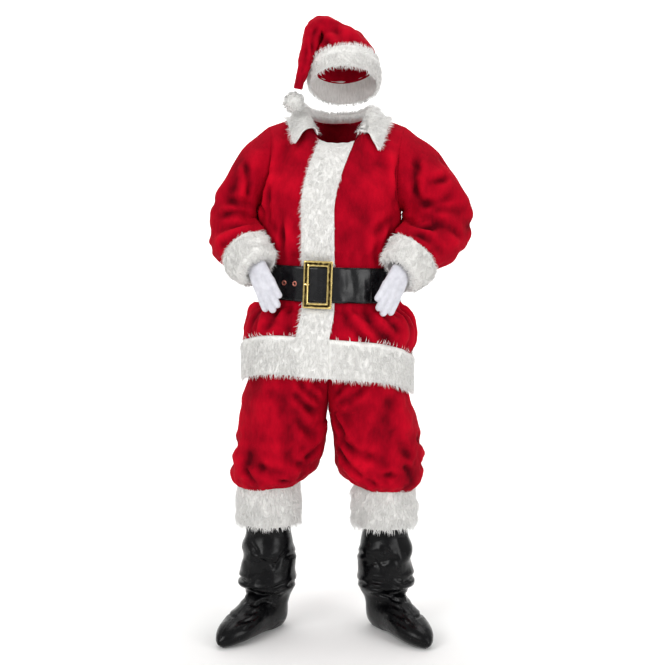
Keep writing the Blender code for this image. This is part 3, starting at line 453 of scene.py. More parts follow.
jacketShape = {
    "height": (0.760, 0.886, 0.950, 0.988, 1.014, 1.160, 1.188, 1.235, 1.300),
    "centre": (-0.004, -0.002, 0.008, 0.009, 0.006, 0.006, 0.006, 0.006, 0.006),
    "half": (0.257, 0.257, 0.256, 0.242, 0.214, 0.211, 0.214, 0.214, 0.216),
    "front": (0.198, 0.200, 0.196, 0.186, 0.172, 0.172, 0.184, 0.182, 0.168),
    "back": (0.192, 0.192, 0.186, 0.172, 0.152, 0.152, 0.162, 0.164, 0.158),
    "lift": (0.044, 0.044, 0.032, 0.012, 0.0, 0.0, 0.0, 0.0, 0.0),
    "slope": (-0.080, -0.080, -0.062, -0.045, -0.035, -0.035, -0.018, -0.006, 0.0),
    "frontTurn": radians(9), "hem": 0.770, "hemBand": 0.116, "shoulderHalf": 0.208, "shoulderHeight": 1.553,
    "shoulderCentre": 0.027, "neckHalf": 0.082, "neckDepth": 0.080, "neckFront": 1.500, "neckSide": 1.582,
    "neckAngle": radians(33.75), "armholeDepth": 0.105,
    "columns": 56, "hemRows": 15, "lowRows": 76, "topRows": 64,
}


def atHeight(shape, key, height):
    t = np.interp(height, shape["height"], np.arange(len(shape["height"])))
    return through(shape[key], t)


def jacketRing(angle, height):
    shape = jacketShape
    turned = angle - shape["frontTurn"] * np.cos(angle / 2) ** 2
    facing = np.cos(turned)
    depth = np.where(facing > 0, atHeight(shape, "front", height), atHeight(shape, "back", height))
    flute = 1 + smooth((1.03 - height) / 0.2) * (0.008 * np.cos(7 * angle + 0.8) + 0.006 * np.cos(11 * angle))
    x = atHeight(shape, "centre", height) + atHeight(shape, "half", height) * flute * np.sin(turned)
    lift = (atHeight(shape, "lift", height) * smooth(np.maximum(facing, 0))
            + atHeight(shape, "slope", height) * x)
    return stack(x, -depth * flute * facing, height + lift)


def neckline(angle):
    shape = jacketShape
    drop = (shape["neckSide"] - shape["neckFront"]) * smooth(np.maximum(np.cos(angle), 0))
    rear = 0.012 * smooth(np.maximum(-np.cos(angle), 0))
    return stack(neckAt[0] + shape["neckHalf"] * np.sin(angle), neckAt[1] - shape["neckDepth"] * np.cos(angle),
                 shape["neckSide"] - drop - rear)


def jacketTop(angle):
    shape = jacketShape
    side = np.where(angle >= 0, 1.0, -1.0)
    ahead = np.abs(angle) <= pi / 2 + 1e-6
    quarter = np.where(ahead, np.abs(angle), pi - np.abs(angle))
    roundNeck = np.minimum(quarter / shape["neckAngle"], 1) * pi / 2
    collarEdge = neckline(side * np.where(ahead, roundNeck, pi - roundNeck))
    along = np.clip((quarter - shape["neckAngle"]) / (pi / 2 - shape["neckAngle"]), 0, 1)[..., None]
    tip = stack(shape["shoulderCentre"] + side * shape["shoulderHalf"], 0.010, shape["shoulderHeight"])
    point = neckline(side * pi / 2) * (1 - along) + tip * along
    point[..., 2] += 0.006 * np.sin(pi * along[..., 0])
    return np.where(quarter[..., None] <= shape["neckAngle"], collarEdge, point)


def jacketSurface(angle, rise, ahead):
    # rise is a height up to the underarm, and from there it runs to 2 at the shoulder seam
    angle, rise = np.broadcast_arrays(np.asarray(angle, float), np.asarray(rise, float))
    shape = jacketShape
    t = np.clip((rise - underarm) / (2 - underarm), 0, 1)[..., None]
    way = -1.0 if ahead else 1.0
    side = np.where(angle >= 0, 1.0, -1.0)
    quarter = np.abs(angle) if ahead else pi - np.abs(angle)
    edge = smooth(quarter / (pi / 2)) ** 3
    start = jacketRing(angle, np.minimum(rise, underarm))
    top = jacketTop(angle if ahead else np.where(np.abs(angle) < pi / 2 + 1e-5, side * (pi / 2 + 1e-5), angle))
    first = start + stack(-side * 0.030 * edge, way * shape["armholeDepth"] * edge, 0.100 - 0.065 * edge)
    pull = 0.024 * np.clip(1 - quarter / shape["neckAngle"], 0, 1)
    second = top + stack(-side * 0.028 * edge, way * (0.060 + 0.040 * edge), 0.002 - 0.035 * edge - pull)
    s = 1 - t
    return start * s ** 3 + first * 3 * s * s * t + second * 3 * s * t * t + top * t ** 3


# heights are above the floor under the wearer
jacketCreases = {
    "front": ((-136, 1296, -134, 1165, 2, 8, 10), (-196, 1430, -186, 1285, -14, 10, 12),
              (-170, 1385, -168, 1255, -6, 9, 8), (-120, 1520, -160, 1400, 10, 18, 7),
              (-100, 1300, -85, 1180, 4, 13, 5), (-180, 1262, -120, 1205, 8, 13, 6),
              (-70, 1230, -98, 1150, 4, 12, 4), (238, 1468, 214, 1290, 16, 12, 12),
              (205, 1440, 190, 1300, 8, 14, 7), (150, 1515, 185, 1400, -10, 18, 6),
              (210, 1290, 130, 1215, -10, 14, 8), (195, 1262, 165, 1160, -6, 10, 7),
              (120, 1300, 95, 1165, -4, 15, 4), (155, 1230, 130, 1150, -4, 10, 5),
              (-145, 1034, -196, 950, 10, 12, 12), (-115, 1030, -120, 930, 8, 14, 7),
              (-200, 1020, -222, 930, 4, 10, 8), (44, 1022, 145, 900, -14, 13, 13),
              (98, 1022, 205, 900, -10, 15, 11), (155, 1020, 225, 940, -6, 11, 9),
              (30, 1020, 70, 860, 6, 15, 5)),
    "back": ((-150, 1300, -120, 1155, 10, 14, 9), (-60, 1290, -52, 1150, -4, 15, 6),
             (45, 1310, 60, 1152, 6, 16, 7), (150, 1280, 125, 1155, -8, 13, 9),
             (-196, 1450, -170, 1290, -12, 14, 10), (232, 1460, 196, 1290, 14, 14, 10),
             (-120, 1460, 20, 1425, -14, 22, 6), (170, 1465, 60, 1410, 14, 20, 5),
             (-180, 1024, -205, 880, 6, 14, 11), (-110, 1024, -135, 860, -6, 13, 10),
             (-40, 1022, -44, 850, 6, 16, 9), (30, 1022, 42, 870, -4, 12, 7),
             (100, 1024, 128, 850, 8, 15, 11), (175, 1022, 205, 880, -6, 13, 10)),
    "left": ((-60, 1025, -80, 870, 6, 14, 10), (30, 1025, 50, 860, -6, 14, 9)),
    "right": ((-70, 1025, -90, 880, -6, 14, 10), (20, 1025, 45, 860, 6, 13, 10)),
}


def bodyGrid(ahead):
    shape = jacketShape
    count = shape["columns"]
    if ahead:
        angles = np.linspace(-pi / 2, pi / 2, 2 * count + 1)
    else:
        turning = np.linspace(pi / 2, 3 * pi / 2, 2 * count + 1)
        angles = np.where(turning <= pi, turning, turning - tau)
    top = shape["hem"] + shape["hemBand"]
    rises = np.concatenate([np.linspace(shape["hem"], top, shape["hemRows"])[:-1],
                            np.linspace(top, underarm, shape["lowRows"])[:-1],
                            np.linspace(underarm, 2, shape["topRows"] + 1)])
    angle, rise = np.meshgrid(angles, rises)
    points = jacketSurface(angle, rise, ahead)
    normals = gridNormals(points)
    return angle, rise, points, normals


def calmZones(angle, rise):
    # where the cloth lies smooth: beneath the placket and the belt, at the armholes and round the neck
    belt = 1 - hump(rise, beltCentre, 0.095)
    placket = smooth((np.abs(angle) - 0.20) / 0.16)
    quarter = np.where(np.abs(angle) <= pi / 2, np.abs(angle), pi - np.abs(angle))
    upper = smooth((rise - underarm) / 0.05)
    arm = 1 - upper * hump(quarter, pi / 2, 0.10)
    below = (1 - upper) * smooth((rise - 1.15) / 0.03)
    arm *= 1 - 0.85 * below * hump(quarter, pi / 2, 0.42)
    top = 1 - smooth((rise - 1.93) / 0.07)
    return belt * placket * arm * top


def pressBody(angle, rise, points, normals, seed):
    calm = calmZones(angle, rise)
    move = creased(points, normals, jacketCreases, seed)
    full = smooth((1.0 - rise) / 0.1) + smooth((rise - 1.17) / 0.08)
    soft = (0.0042 * rippled(points, 0.17, 11) + 0.0022 * rippled(points, 0.075, 12)
            + 0.0009 * rippled(points, 0.032, 13)) * full
    gathers = 0.0022 * np.sin(angle * 46 + 3 * np.sin(angle * 5)) * hump(rise, 1.170, 0.045)
    gathers += 0.0026 * np.sin(angle * 40 + 4 * np.sin(angle * 3)) * hump(rise, 1.000, 0.05)
    move = (move + soft) * calm + gathers * smooth((np.abs(angle) - 0.24) / 0.1)
    hem = smooth((jacketShape["hem"] + jacketShape["hemBand"] + 0.03 - rise) / 0.06)
    move *= 1 - 0.45 * hem
    seamPull = 0.0014 * (hump(np.abs(angle), pi / 2, 0.035)) * (rise < underarm)
    return points + normals * (move - seamPull)[..., None], move


frontAngle, frontRise, frontBase, frontNormals = bodyGrid(True)
backAngle, backRise, backBase, backNormals = bodyGrid(False)
lowRows = frontRise[:, 0] <= underarm + 1e-6
for frontCol, backCol in ((-1, 0), (0, -1)):
    shared = unit(frontNormals[lowRows, frontCol] + backNormals[lowRows, backCol])
    frontNormals[lowRows, frontCol] = shared
    backNormals[lowRows, backCol] = shared
frontPoints, frontMove = pressBody(frontAngle, frontRise, frontBase, frontNormals, 21)
backPoints, backMove = pressBody(backAngle, backRise, backBase, backNormals, 21)


def searchTree(*grids):
    vertices, faces = [], []
    for grid in grids:
        offset = len(vertices)
        vertices += [Vector(p) for p in grid.reshape(-1, 3)]
        rows, columns = grid.shape[:2]
        faces += [tuple(int(k) + offset for k in face) for face in gridFaces(rows, columns, False)]
    return BVHTree.FromPolygons(vertices, faces)


bodyTree = searchTree(frontPoints[::2, ::2], backPoints[::2, ::2])


def keepOffBody(points, room):
    # cloth that would lie in the jacket body is pushed out beside it
    room = np.broadcast_to(room, points.shape[:-1])
    flat, rooms = points.reshape(-1, 3).copy(), room.reshape(-1)
    for k in range(len(flat)):
        if rooms[k] <= 0:
            continue
        point = Vector(flat[k])
        place, normal, _, distance = bodyTree.find_nearest(point)
        if distance > 0.08 or ((point - place).dot(normal) > 0 and distance >= rooms[k]):
            continue
        flat[k] = place + normal * float(rooms[k])
    return flat.reshape(points.shape)


def bodyDistance(points):
    flat = points.reshape(-1, 3)
    reach = np.array([bodyTree.find_nearest(Vector(p))[3] for p in flat])
    return reach.reshape(points.shape[:-1])


def foldLight(move):
    # the pile catches light on raised cloth and looks deep in the troughs
    return np.clip(move / 0.010, -1, 1)


def buildJacket():
    start = jacketShape["hemRows"] - 1
    middle = jacketShape["columns"]
    for name, cutName, columns in (("jacket_front_left", "frontLeft", slice(middle, None)),
                                   ("jacket_front_right", "frontRight", slice(0, middle + 1))):
        item = sewn(name + "_plush", frontPoints[start:, columns], fold=foldLight(frontMove[start:, columns]))
        finish(item, plush, (name,))
    item = sewn("jacket_back_plush", backPoints[start:], fold=foldLight(backMove[start:]))
    finish(item, plush, ("jacket_back",))


buildJacket()
print("jacket body sewn")


# --- sleeves and their fur cuffs; each row is the outer point, the inner point and half the depth, in mm

sleeveShape = {
    "right": ((-268, 2, 1478, -222, 0, 1297, 98), (-304, 10, 1404, -222, -10, 1284, 96),
              (-332, 22, 1332, -218, -26, 1270, 92), (-343, 28, 1258, -212, -50, 1258, 85),
              (-338, 10, 1186, -208, -80, 1250, 78), (-322, -30, 1145, -204, -106, 1246, 70),
              (-285, -66, 1130, -201, -126, 1238, 62)),
    "left": ((324, 2, 1484, 236, 0, 1297, 96), (384, 10, 1404, 236, -10, 1282, 98),
             (424, 24, 1330, 232, -26, 1266, 96), (432, 28, 1255, 226, -50, 1252, 88),
             (414, 8, 1186, 220, -80, 1244, 80), (366, -32, 1142, 214, -106, 1240, 72),
             (302, -68, 1118, 208, -126, 1230, 62)),
    "cuffEnd": {"right": (-238, -130, 1084, -166, -172, 1176, 58),
                "left": (246, -132, 1066, 168, -174, 1174, 58)},
    "rows": 92, "cuffRows": 20, "cuffReach": 0.88,
    "cut": {"flat": (0.60, 0.47), "area": 0.22},
    "cuffCut": (0.39, 0.160),
}
sleeveCreases = {
    "right": {
        "front": ((-244, 1455, -238, 1330, 8, 9, 12), (-275, 1440, -300, 1330, 10, 16, 7),
                  (-312, 1330, -200, 1300, 8, 11, 10), (-330, 1285, -215, 1285, 10, 10, 10),
                  (-332, 1235, -230, 1262, 8, 11, 9), (-325, 1185, -262, 1225, 6, 10, 9)),
        "right": ((-60, 1330, 70, 1290, 10, 15, 6), (-50, 1240, 60, 1250, -8, 14, 6),
                  (-60, 1190, 20, 1170, 6, 10, 8)),
        "back": ((-230, 1440, -300, 1350, 10, 15, 8), (-235, 1330, -330, 1300, -8, 12, 10),
                 (-230, 1270, -320, 1230, 8, 12, 10)),
    },
    "left": {
        "front": ((272, 1470, 268, 1330, -12, 10, 13), (285, 1385, 365, 1408, -8, 10, 11),
                  (262, 1325, 372, 1348, -10, 11, 11), (300, 1300, 415, 1300, 8, 12, 9),
                  (232, 1272, 330, 1255, -10, 10, 12), (240, 1245, 345, 1165, 10, 12, 10),
                  (300, 1270, 405, 1215, 12, 13, 9), (325, 1462, 372, 1405, 8, 18, 5)),
        "left": ((-40, 1335, 80, 1300, -10, 16, 5), (-60, 1240, 60, 1260, 8, 15, 6),
                 (-70, 1180, 30, 1170, -6, 13, 5)),
        "back": ((250, 1450, 340, 1370, -10, 15, 8), (245, 1340, 390, 1310, 10, 12, 11),
                 (240, 1270, 400, 1230, -10, 13, 10)),
    },
}


def sleeveRing(rows, index, side, turn):
    last = len(rows) - 1
    before, row, after = (np.array(rows[min(max(k, 0), last)]) / 1000 for k in (index - 1, index, index + 1))
    outer, inner, half = row[:3], row[3:6], row[6]
    path = (after[:3] + after[3:6]) - (before[:3] + before[3:6])
    reach = (outer - inner) * 0.5
    front = unit(np.cross(reach, path)) * half * -side
    turn = np.asarray(turn)[:, None]
    return (outer + inner) * 0.5 + reach * np.cos(turn) + front * np.sin(turn)


def buildSleeve(name, side):
    top = jacketShape["topRows"]
    first = len(frontRise[:, 0]) - top - 1
    # the head takes its points from the armhole edges: shoulder tip, then the front, then the back
    frontEdge = frontBase[first:, -1 if side > 0 else 0][::-1]
    backEdge = backBase[first:, 0 if side > 0 else -1]
    head = np.concatenate([frontEdge, backEdge[1:-1]])
    turn = np.concatenate([np.linspace(0, pi, top + 1), np.linspace(pi, tau, top + 1)[1:-1]])
    rows = sleeveShape[name]
    rings = np.stack([head] + [sleeveRing(rows, k, side, turn) for k in range(len(rows))])
    last = len(rows)
    along = np.linspace(0, last, sleeveShape["rows"])
    points = through(rings, along)
    axis = through(rings[1:].mean(axis=1), np.maximum(along - 1, 0))[:, None]
    grid, around = np.meshgrid(along, turn, indexing="ij")
    swell = hump(grid, 3.0, 2.4) * 0.005 * np.cos(4 * around + grid * 1.3)
    away = unit(points - axis)
    points = points + away * (swell * smooth(grid / 1.5))[..., None]
    normals, _ = facingOut(points, away)
    fade = smooth(grid / 0.5) * (0.35 + 0.65 * smooth((last - grid) / 0.7))
    move = creased(points, normals, sleeveCreases[name], 31)
    move += 0.0036 * rippled(points, 0.13, 32) + 0.0016 * rippled(points, 0.06, 33)
    move += 0.0025 * np.sin(around * 17 + 2 * np.sin(3 * around)) * hump(grid, last, 0.9)
    reach = bodyDistance(points)
    clear = smooth((reach - 0.010) / 0.040)
    move *= fade * (0.15 + 0.85 * clear)
    # beside the body the cloth rests against it
    rest = (1 - smooth((reach - 0.012) / 0.034)) * smooth((grid - 0.3) / 0.7)
    rest *= smooth((1.355 - points[..., 2]) / 0.05)
    rest *= smooth((points[..., 2] - 1.15) / 0.04)
    points = points + normals * (move + rest * np.maximum(reach - 0.003, 0))[..., None]
    room = np.where(grid > 0.4, 0.005 * smooth((grid - 0.4) / 1.2) + 0.017 * smooth((grid - 5.0) / 2.0), 0)
    room = np.where(points[..., 2] < underarm + 0.11, room, 0)
    points = keepOffBody(points, room)
    item = sewn("sleeve_%s_plush" % name, points, True, foldLight(move), flip=side < 0)
    finish(item, plush, ("sleeve_" + name,))


def buildCuff(name, side):
    rows = sleeveShape[name]
    end = sleeveShape["cuffEnd"][name]
    turn = circle(88)
    start = sleeveRing(rows, len(rows) - 1, side, turn)
    lastRing = sleeveRing(list(rows) + [end], len(rows), side, turn)
    lastRing = start + (lastRing - start) * sleeveShape["cuffReach"]
    middle = lastRing.mean(axis=0)
    wrist = unit(middle - start.mean(axis=0))
    along = np.linspace(0.0, 1.0, sleeveShape["cuffRows"])
    points = start[None] * (1 - along)[:, None, None] + lastRing[None] * along[:, None, None]
    # the fur turns in over the edge, towards the hand
    turned = np.linspace(0, 1, 9)[1:]
    lip = middle + (lastRing - middle)[None] * (1 - 0.40 * turned ** 1.3)[:, None, None] \
        + wrist * (0.010 * np.sin(pi * turned * 0.62))[:, None, None]
    points = np.concatenate([points, lip])
    inward = np.concatenate([np.zeros(len(along)), turned])[:, None]
    centre = points.mean(axis=1, keepdims=True)
    away = unit(points - centre)
    share = np.concatenate([along, np.ones(len(turned))])[:, None]
    swell = 0.007 + 0.005 * np.sin(pi * share) + 0.0035 * rippled(points, 0.05, 41)
    swell *= smooth(share / 0.08 + 0.45)
    points = points + away * (swell * (1 - 0.4 * inward))[..., None]
    points = keepOffBody(points, 0.024)
    normals, _ = facingOut(points, away, rows=len(along))
    comb = wrist * (1 - inward)[..., None] - away * inward[..., None]
    settings = {"seed": 51 if side > 0 else 52, "perCm2": 7.2, "length": 0.016, "lift": 0.55, "droop": 0.45,
                "lock": 0.017, "stray": 0.28, "thick": 0.0011}
    names = ("cuff_%s_fur" % name, "cuff_%s_pile" % name)
    furPiece(names, points, (points, normals), comb, settings, "cuff_fur_" + name,
             True, 0.0035, side < 0)


for sleeveName, sleeveSide in (("left", 1), ("right", -1)):
    buildSleeve(sleeveName, sleeveSide)
    buildCuff(sleeveName, sleeveSide)
print("sleeves and cuffs sewn")


# --- fur down the front, along the hem and at the neck

trim = {
    "placketHalf": 0.053, "placketTop": 1.955, "underwool": 0.0052,
    "placket": {"seed": 61, "perCm2": 7.0, "length": 0.015, "lift": 0.32, "droop": 0.35, "lock": 0.014,
                "stray": 0.22, "thick": 0.0009},
    "placketCut": (0.100, 0.79),
    "hem": {"seed": 64, "perCm2": 5.8, "length": 0.018, "lift": 0.36, "droop": 0.3, "lock": 0.016,
            "stray": 0.20, "thick": 0.0011},
    "hemFrontCut": (0.38, 0.117), "hemBackCut": (0.73, 0.117),
}


def buildPlacket():
    half = trim["placketHalf"]
    us = np.linspace(-half + 0.002, half - 0.007, 25)
    low = np.linspace(jacketShape["hem"], underarm, 84)
    rises = np.concatenate([low, np.linspace(underarm, trim["placketTop"], 44)[1:]])
    u, v = np.meshgrid(us, rises)
    half0 = atHeight(jacketShape, "half", np.minimum(v, underarm))
    toward = np.clip((v - underarm) / (2 - underarm), 0, 1)
    angle = u / half0 * (1 - 0.12 * toward) * (1 + 0.35 * toward)
    points = jacketSurface(angle, v, True)
    normals = gridNormals(points)
    pressed = 1 - smooth((np.abs(v - beltCentre) - 0.070) / 0.03)
    crown = 1 - (np.abs(u) / half) ** 4
    height = 0.0024 + (trim["underwool"] - 0.0010) * crown * (1 - 0.6 * pressed)
    height += 0.0012 * rippled(points, 0.03, 62) * (1 - pressed) * crown
    pileGrid = points + normals * height[..., None]
    # the fur is brushed towards the wearer's right, so its other edge lies neat against the plush
    comb = stack(-0.25 - 0.9 * smooth((-u / half - 0.35) / 0.6), 0, -1)
    settings = trim["placket"]
    upper = v[:, 0] > beltCentre + 0.052
    lower = v[:, 0] < beltCentre - 0.052
    piles = [growFur("placket_pile_upper", pileGrid[upper], normals[upper], comb[upper], settings),
             growFur("placket_pile_lower", pileGrid[lower], normals[lower], comb[lower],
                     dict(settings, seed=settings["seed"] + 5))]
    item = sewn("placket_fur_ground", pileGrid, wall=0.0022)
    finish(item, furBacking, ("placket_fur",))


def buildHem():
    rows = slice(0, jacketShape["hemRows"])
    middle = jacketShape["columns"]
    skip = 7  # columns beneath the placket
    for name, grid, normals, columns, cut, node, seed in (
            ("left", frontPoints, frontNormals, slice(middle, None), "hemFrontCut", "hem_fur_front_left", 0),
            ("right", frontPoints, frontNormals, slice(0, middle + 1), "hemFrontCut", "hem_fur_front_right", 1),
            ("back", backPoints, backNormals, slice(None), "hemBackCut", "hem_fur_back", 2)):
        points, outward = grid[rows, columns], normals[rows, columns]
        share = np.linspace(0, 1, points.shape[0])[:, None]
        crown = smooth(share / 0.08 + 0.35) * smooth((1 - share) / 0.10 + 0.35)
        height = trim["underwool"] * crown + 0.0014 * rippled(points, 0.035, 65)
        if name == "left":
            height[:, :skip] = np.minimum(height[:, :skip], 0.0)
        if name == "right":
            height[:, -skip:] = np.minimum(height[:, -skip:], 0.0)
        ground = points + outward * height[..., None]
        settings = dict(trim["hem"], seed=trim["hem"]["seed"] + seed)
        shown = slice(skip, None) if name == "left" else slice(0, -skip) if name == "right" else slice(None)
        # the top edge's hair stands out over the seam
        comb = stack(0, 0, np.where(share > 0.93, 0.25, -1.0)) + outward * 0.2
        piled = ground[:, shown], outward[:, shown]
        furPiece(("hem_%s_fur" % name, "hem_%s_pile" % name), ground, piled, comb[:, shown], settings, node)


collarShape = {
    "out": (0.000, 0.002, 0.014, 0.032, 0.046, 0.059, 0.071),
    "up": (0.010, 0.025, 0.036, 0.038, 0.029, 0.013, -0.001),
    "dropRight": 0.016, "dropLeft": 0.040,
    "open": radians(45), "columns": 150, "rows": 26,
    "pile": {"seed": 71, "perCm2": 7.0, "length": 0.019, "lift": 0.50, "droop": 0.4, "lock": 0.016,
             "stray": 0.28, "thick": 0.0011},
    "cut": (0.62, 0.135),
}


def buildCollar():
    shape = collarShape
    reach = pi - shape["open"]
    u, v = np.meshgrid(np.linspace(-reach, reach, shape["columns"]), np.linspace(0, 6, shape["rows"]))
    angle = pi + u
    base = neckline(angle)
    away = unit(stack(np.sin(angle) * 1.08, -np.cos(angle), 0))
    out, up = through(shape["out"], v), through(shape["up"], v)
    ahead = smooth((np.abs(u) - pi * 0.45) / (pi * 0.4))
    fall = smooth(v / 6)
    pointReach = np.where(u > 0, 0.024, 0.014) * smooth((np.abs(u) - pi * 0.62) / (pi * 0.14)) * fall
    drop = np.where(u > 0, shape["dropRight"], shape["dropLeft"])
    lower = -drop * ahead * fall - 0.014 * hump(np.abs(u), pi / 2, pi / 3) * fall
    lower -= np.where(np.abs(u) < pi / 2, 0.022 * smooth(1 - np.abs(u) / (pi / 2)) * fall, 0)
    points = base + away * (out + pointReach)[..., None] + stack(0, 0, up + lower)
    points = keepOffBody(points, 0.0050 + 0.0060 * smooth((v - 0.5) / 2))
    normals, turned = facingOut(points, stack(away[..., 0], away[..., 1], 0.8), False)
    points = points + normals * (0.0018 * rippled(points, 0.04, 72))[..., None]
    comb = away + np.array((0, 0, -0.5))
    furPiece(("collar_fur_ground", "collar_pile"), points, (points, normals), comb, shape["pile"], "collar_fur",
             flip=turned)


buildPlacket()
buildHem()
buildCollar()
print("fur trim sewn")


# --- belt: the strap runs once round from behind the buckle and ends over its own start

beltShape = {
    "height": 0.104, "thick": 0.0024, "slope": -0.035, "layer": 0.0031, "furFlat": 0.007,
    "tailSteps": 7, "step": radians(6), "cut": (1.39, 0.104),
    "buckleWidth": 0.086, "buckleHeight": 0.139, "bar": 0.0165,
    "castWall": 0.0026, "corner": 0.0030, "rod": 0.0016, "rodBehind": 0.0042,
    "stitchPitch": 0.0052, "stitchLong": 0.0034, "stitchRadius": 0.00042, "stitchInset": 0.004,
    # the buckle's section from its outer edge to its opening: steps in and up
    "section": ((0.0007, 0.0014), (0.0014, 0.0013), (0.0020, 0.0004), (0.0022, -0.0013), (0.0040, -0.0003),
                (0.0022, 0.0013), (0.0019, 0.0002), (0.0012, -0.0010), (0.0009, -0.0012)),
    "frontRadius": 0.186, "eyeletPitch": 0.036, "eyeletOuter": 0.008, "eyeletInner": 0.0036,
}


def beltSurface(angle, across, lift):
    shape = beltShape
    turned = (angle + pi) % tau - pi
    base = jacketRing(turned, np.full_like(turned, beltCentre))
    around = jacketRing(turned + 0.01, np.full_like(turned, beltCentre)) \
        - jacketRing(turned - 0.01, np.full_like(turned, beltCentre))
    away = unit(stack(around[..., 1], -around[..., 0], 0))
    near = 1 - smooth((np.abs(turned) - 0.27) / 0.20)
    point = base + away * (0.0030 + near * shape["furFlat"] + lift)[..., None]
    point[..., 2] = beltCentre + across + shape["slope"] * point[..., 0]
    return point, away


def strapLift(angle):
    second = smooth((angle - (tau - 0.75)) / 0.5) * beltShape["layer"]
    return second + hump(angle, tau, 0.085) * 0.0042


def beltPlace(angle, across=0.0, lift=0.0):
    point, away = beltSurface(np.array([angle]), np.array([across]), np.array([lift]))
    return Vector(point[0])


def buildStrap():
    shape = beltShape
    end = tau + shape["tailSteps"] * shape["step"]
    angle, across = np.meshgrid(np.linspace(0, end, 300), np.linspace(-0.5, 0.5, 15) * shape["height"])
    points, away = beltSurface(angle, across, strapLift(angle) + shape["thick"])
    edge = 1 - (np.abs(across) / (shape["height"] / 2)) ** 6
    turned = (angle + pi) % tau - pi
    # the vinyl buckles softly between the buckle and the hands
    wave = 0.0011 * rippled(points, 0.045, 81) + 0.0006 * rippled(points, 0.02, 82)
    pinch = -0.0022 * hump(turned, 0.42, 0.10) * (1 - 0.6 * hump(across, 0.0, 0.05))
    bulge = 0.0016 * hump(turned, 0.60, 0.14) - 0.0012 * hump(turned, -0.62, 0.12)
    free = smooth((np.abs(turned) - 0.24) / 0.1) * (1 - 0.5 * smooth((np.abs(turned) - 2.4) / 0.4))
    clear = np.maximum((wave + pinch + bulge) * free, -0.0022)
    points = points + away * (clear + 0.0004 * edge)[..., None]
    item = sewn("belt_strap_vinyl", points, wall=shape["thick"])
    finish(item, beltVinyl, ("belt_strap",))


def buildStitches():
    # one row of stitches beside each edge of the strap, each a short rod lying in the vinyl
    shape = beltShape
    long, radius = shape["stitchLong"], shape["stitchRadius"]
    end = tau + shape["tailSteps"] * shape["step"]
    count = int(0.2 * end / shape["stitchPitch"])  # the strap lies about 0.2 m from the middle of the waist
    angles = np.linspace(0.01, end - 0.01, count)
    vertices = []
    edge = shape["height"] / 2 - shape["stitchInset"]
    for rowPlace in (-edge, edge):
        across, lift = np.full(count, rowPlace), strapLift(angles) + shape["thick"] + 0.0001
        centre, away = beltSurface(angles, across, lift)
        ahead, _ = beltSurface(angles + 0.004, across, lift)
        along = unit(ahead - centre)
        up = np.cross(away, along)
        for half in (-0.5, 0.5):
            for x, y in ((-1, 0), (0, 1), (1, 0), (0, -1)):
                vertices.append(centre + along * half * long + up * x * radius + away * y * radius)
    blocks = np.stack(vertices, axis=0)
    total = len(vertices)
    grid = blocks.transpose(1, 0, 2).reshape(-1, 3)
    pattern = []
    for start in (0, 8):
        for k in range(4):
            a, b = start + k, start + (k + 1) % 4
            pattern.append((a, b, b + 4, a + 4))
        pattern.append((start + 3, start + 2, start + 1, start))
        pattern.append((start + 4, start + 5, start + 6, start + 7))
    faces = (np.array(pattern)[None, :, ::-1] + total * np.arange(count)[:, None, None]).reshape(-1, 4)
    item = meshObject("belt_stitches", grid, faces)
    item.data.shade_smooth()
    finish(item, beltVinyl, ())


def beltFrame(angle):
    # a matrix that lays a flat thing on the belt: its X along the belt and its Z outwards
    lift = beltShape["layer"] + beltShape["thick"]
    centre = beltPlace(angle, 0.0, lift)
    aside = (beltPlace(angle + 0.05, 0.0, lift) - beltPlace(angle - 0.05, 0.0, lift)).normalized()
    up = (beltPlace(angle, 0.04, lift) - beltPlace(angle, -0.04, lift)).normalized()
    away = aside.cross(up).normalized()
    up = away.cross(aside)
    turn = Matrix((aside, up, away)).transposed().to_4x4()
    return Matrix.Translation(centre - Vector(neckAt)) @ turn


def settle(item, matrix):
    item.data.transform(matrix)
    item.matrix_world = Matrix.Identity(4)


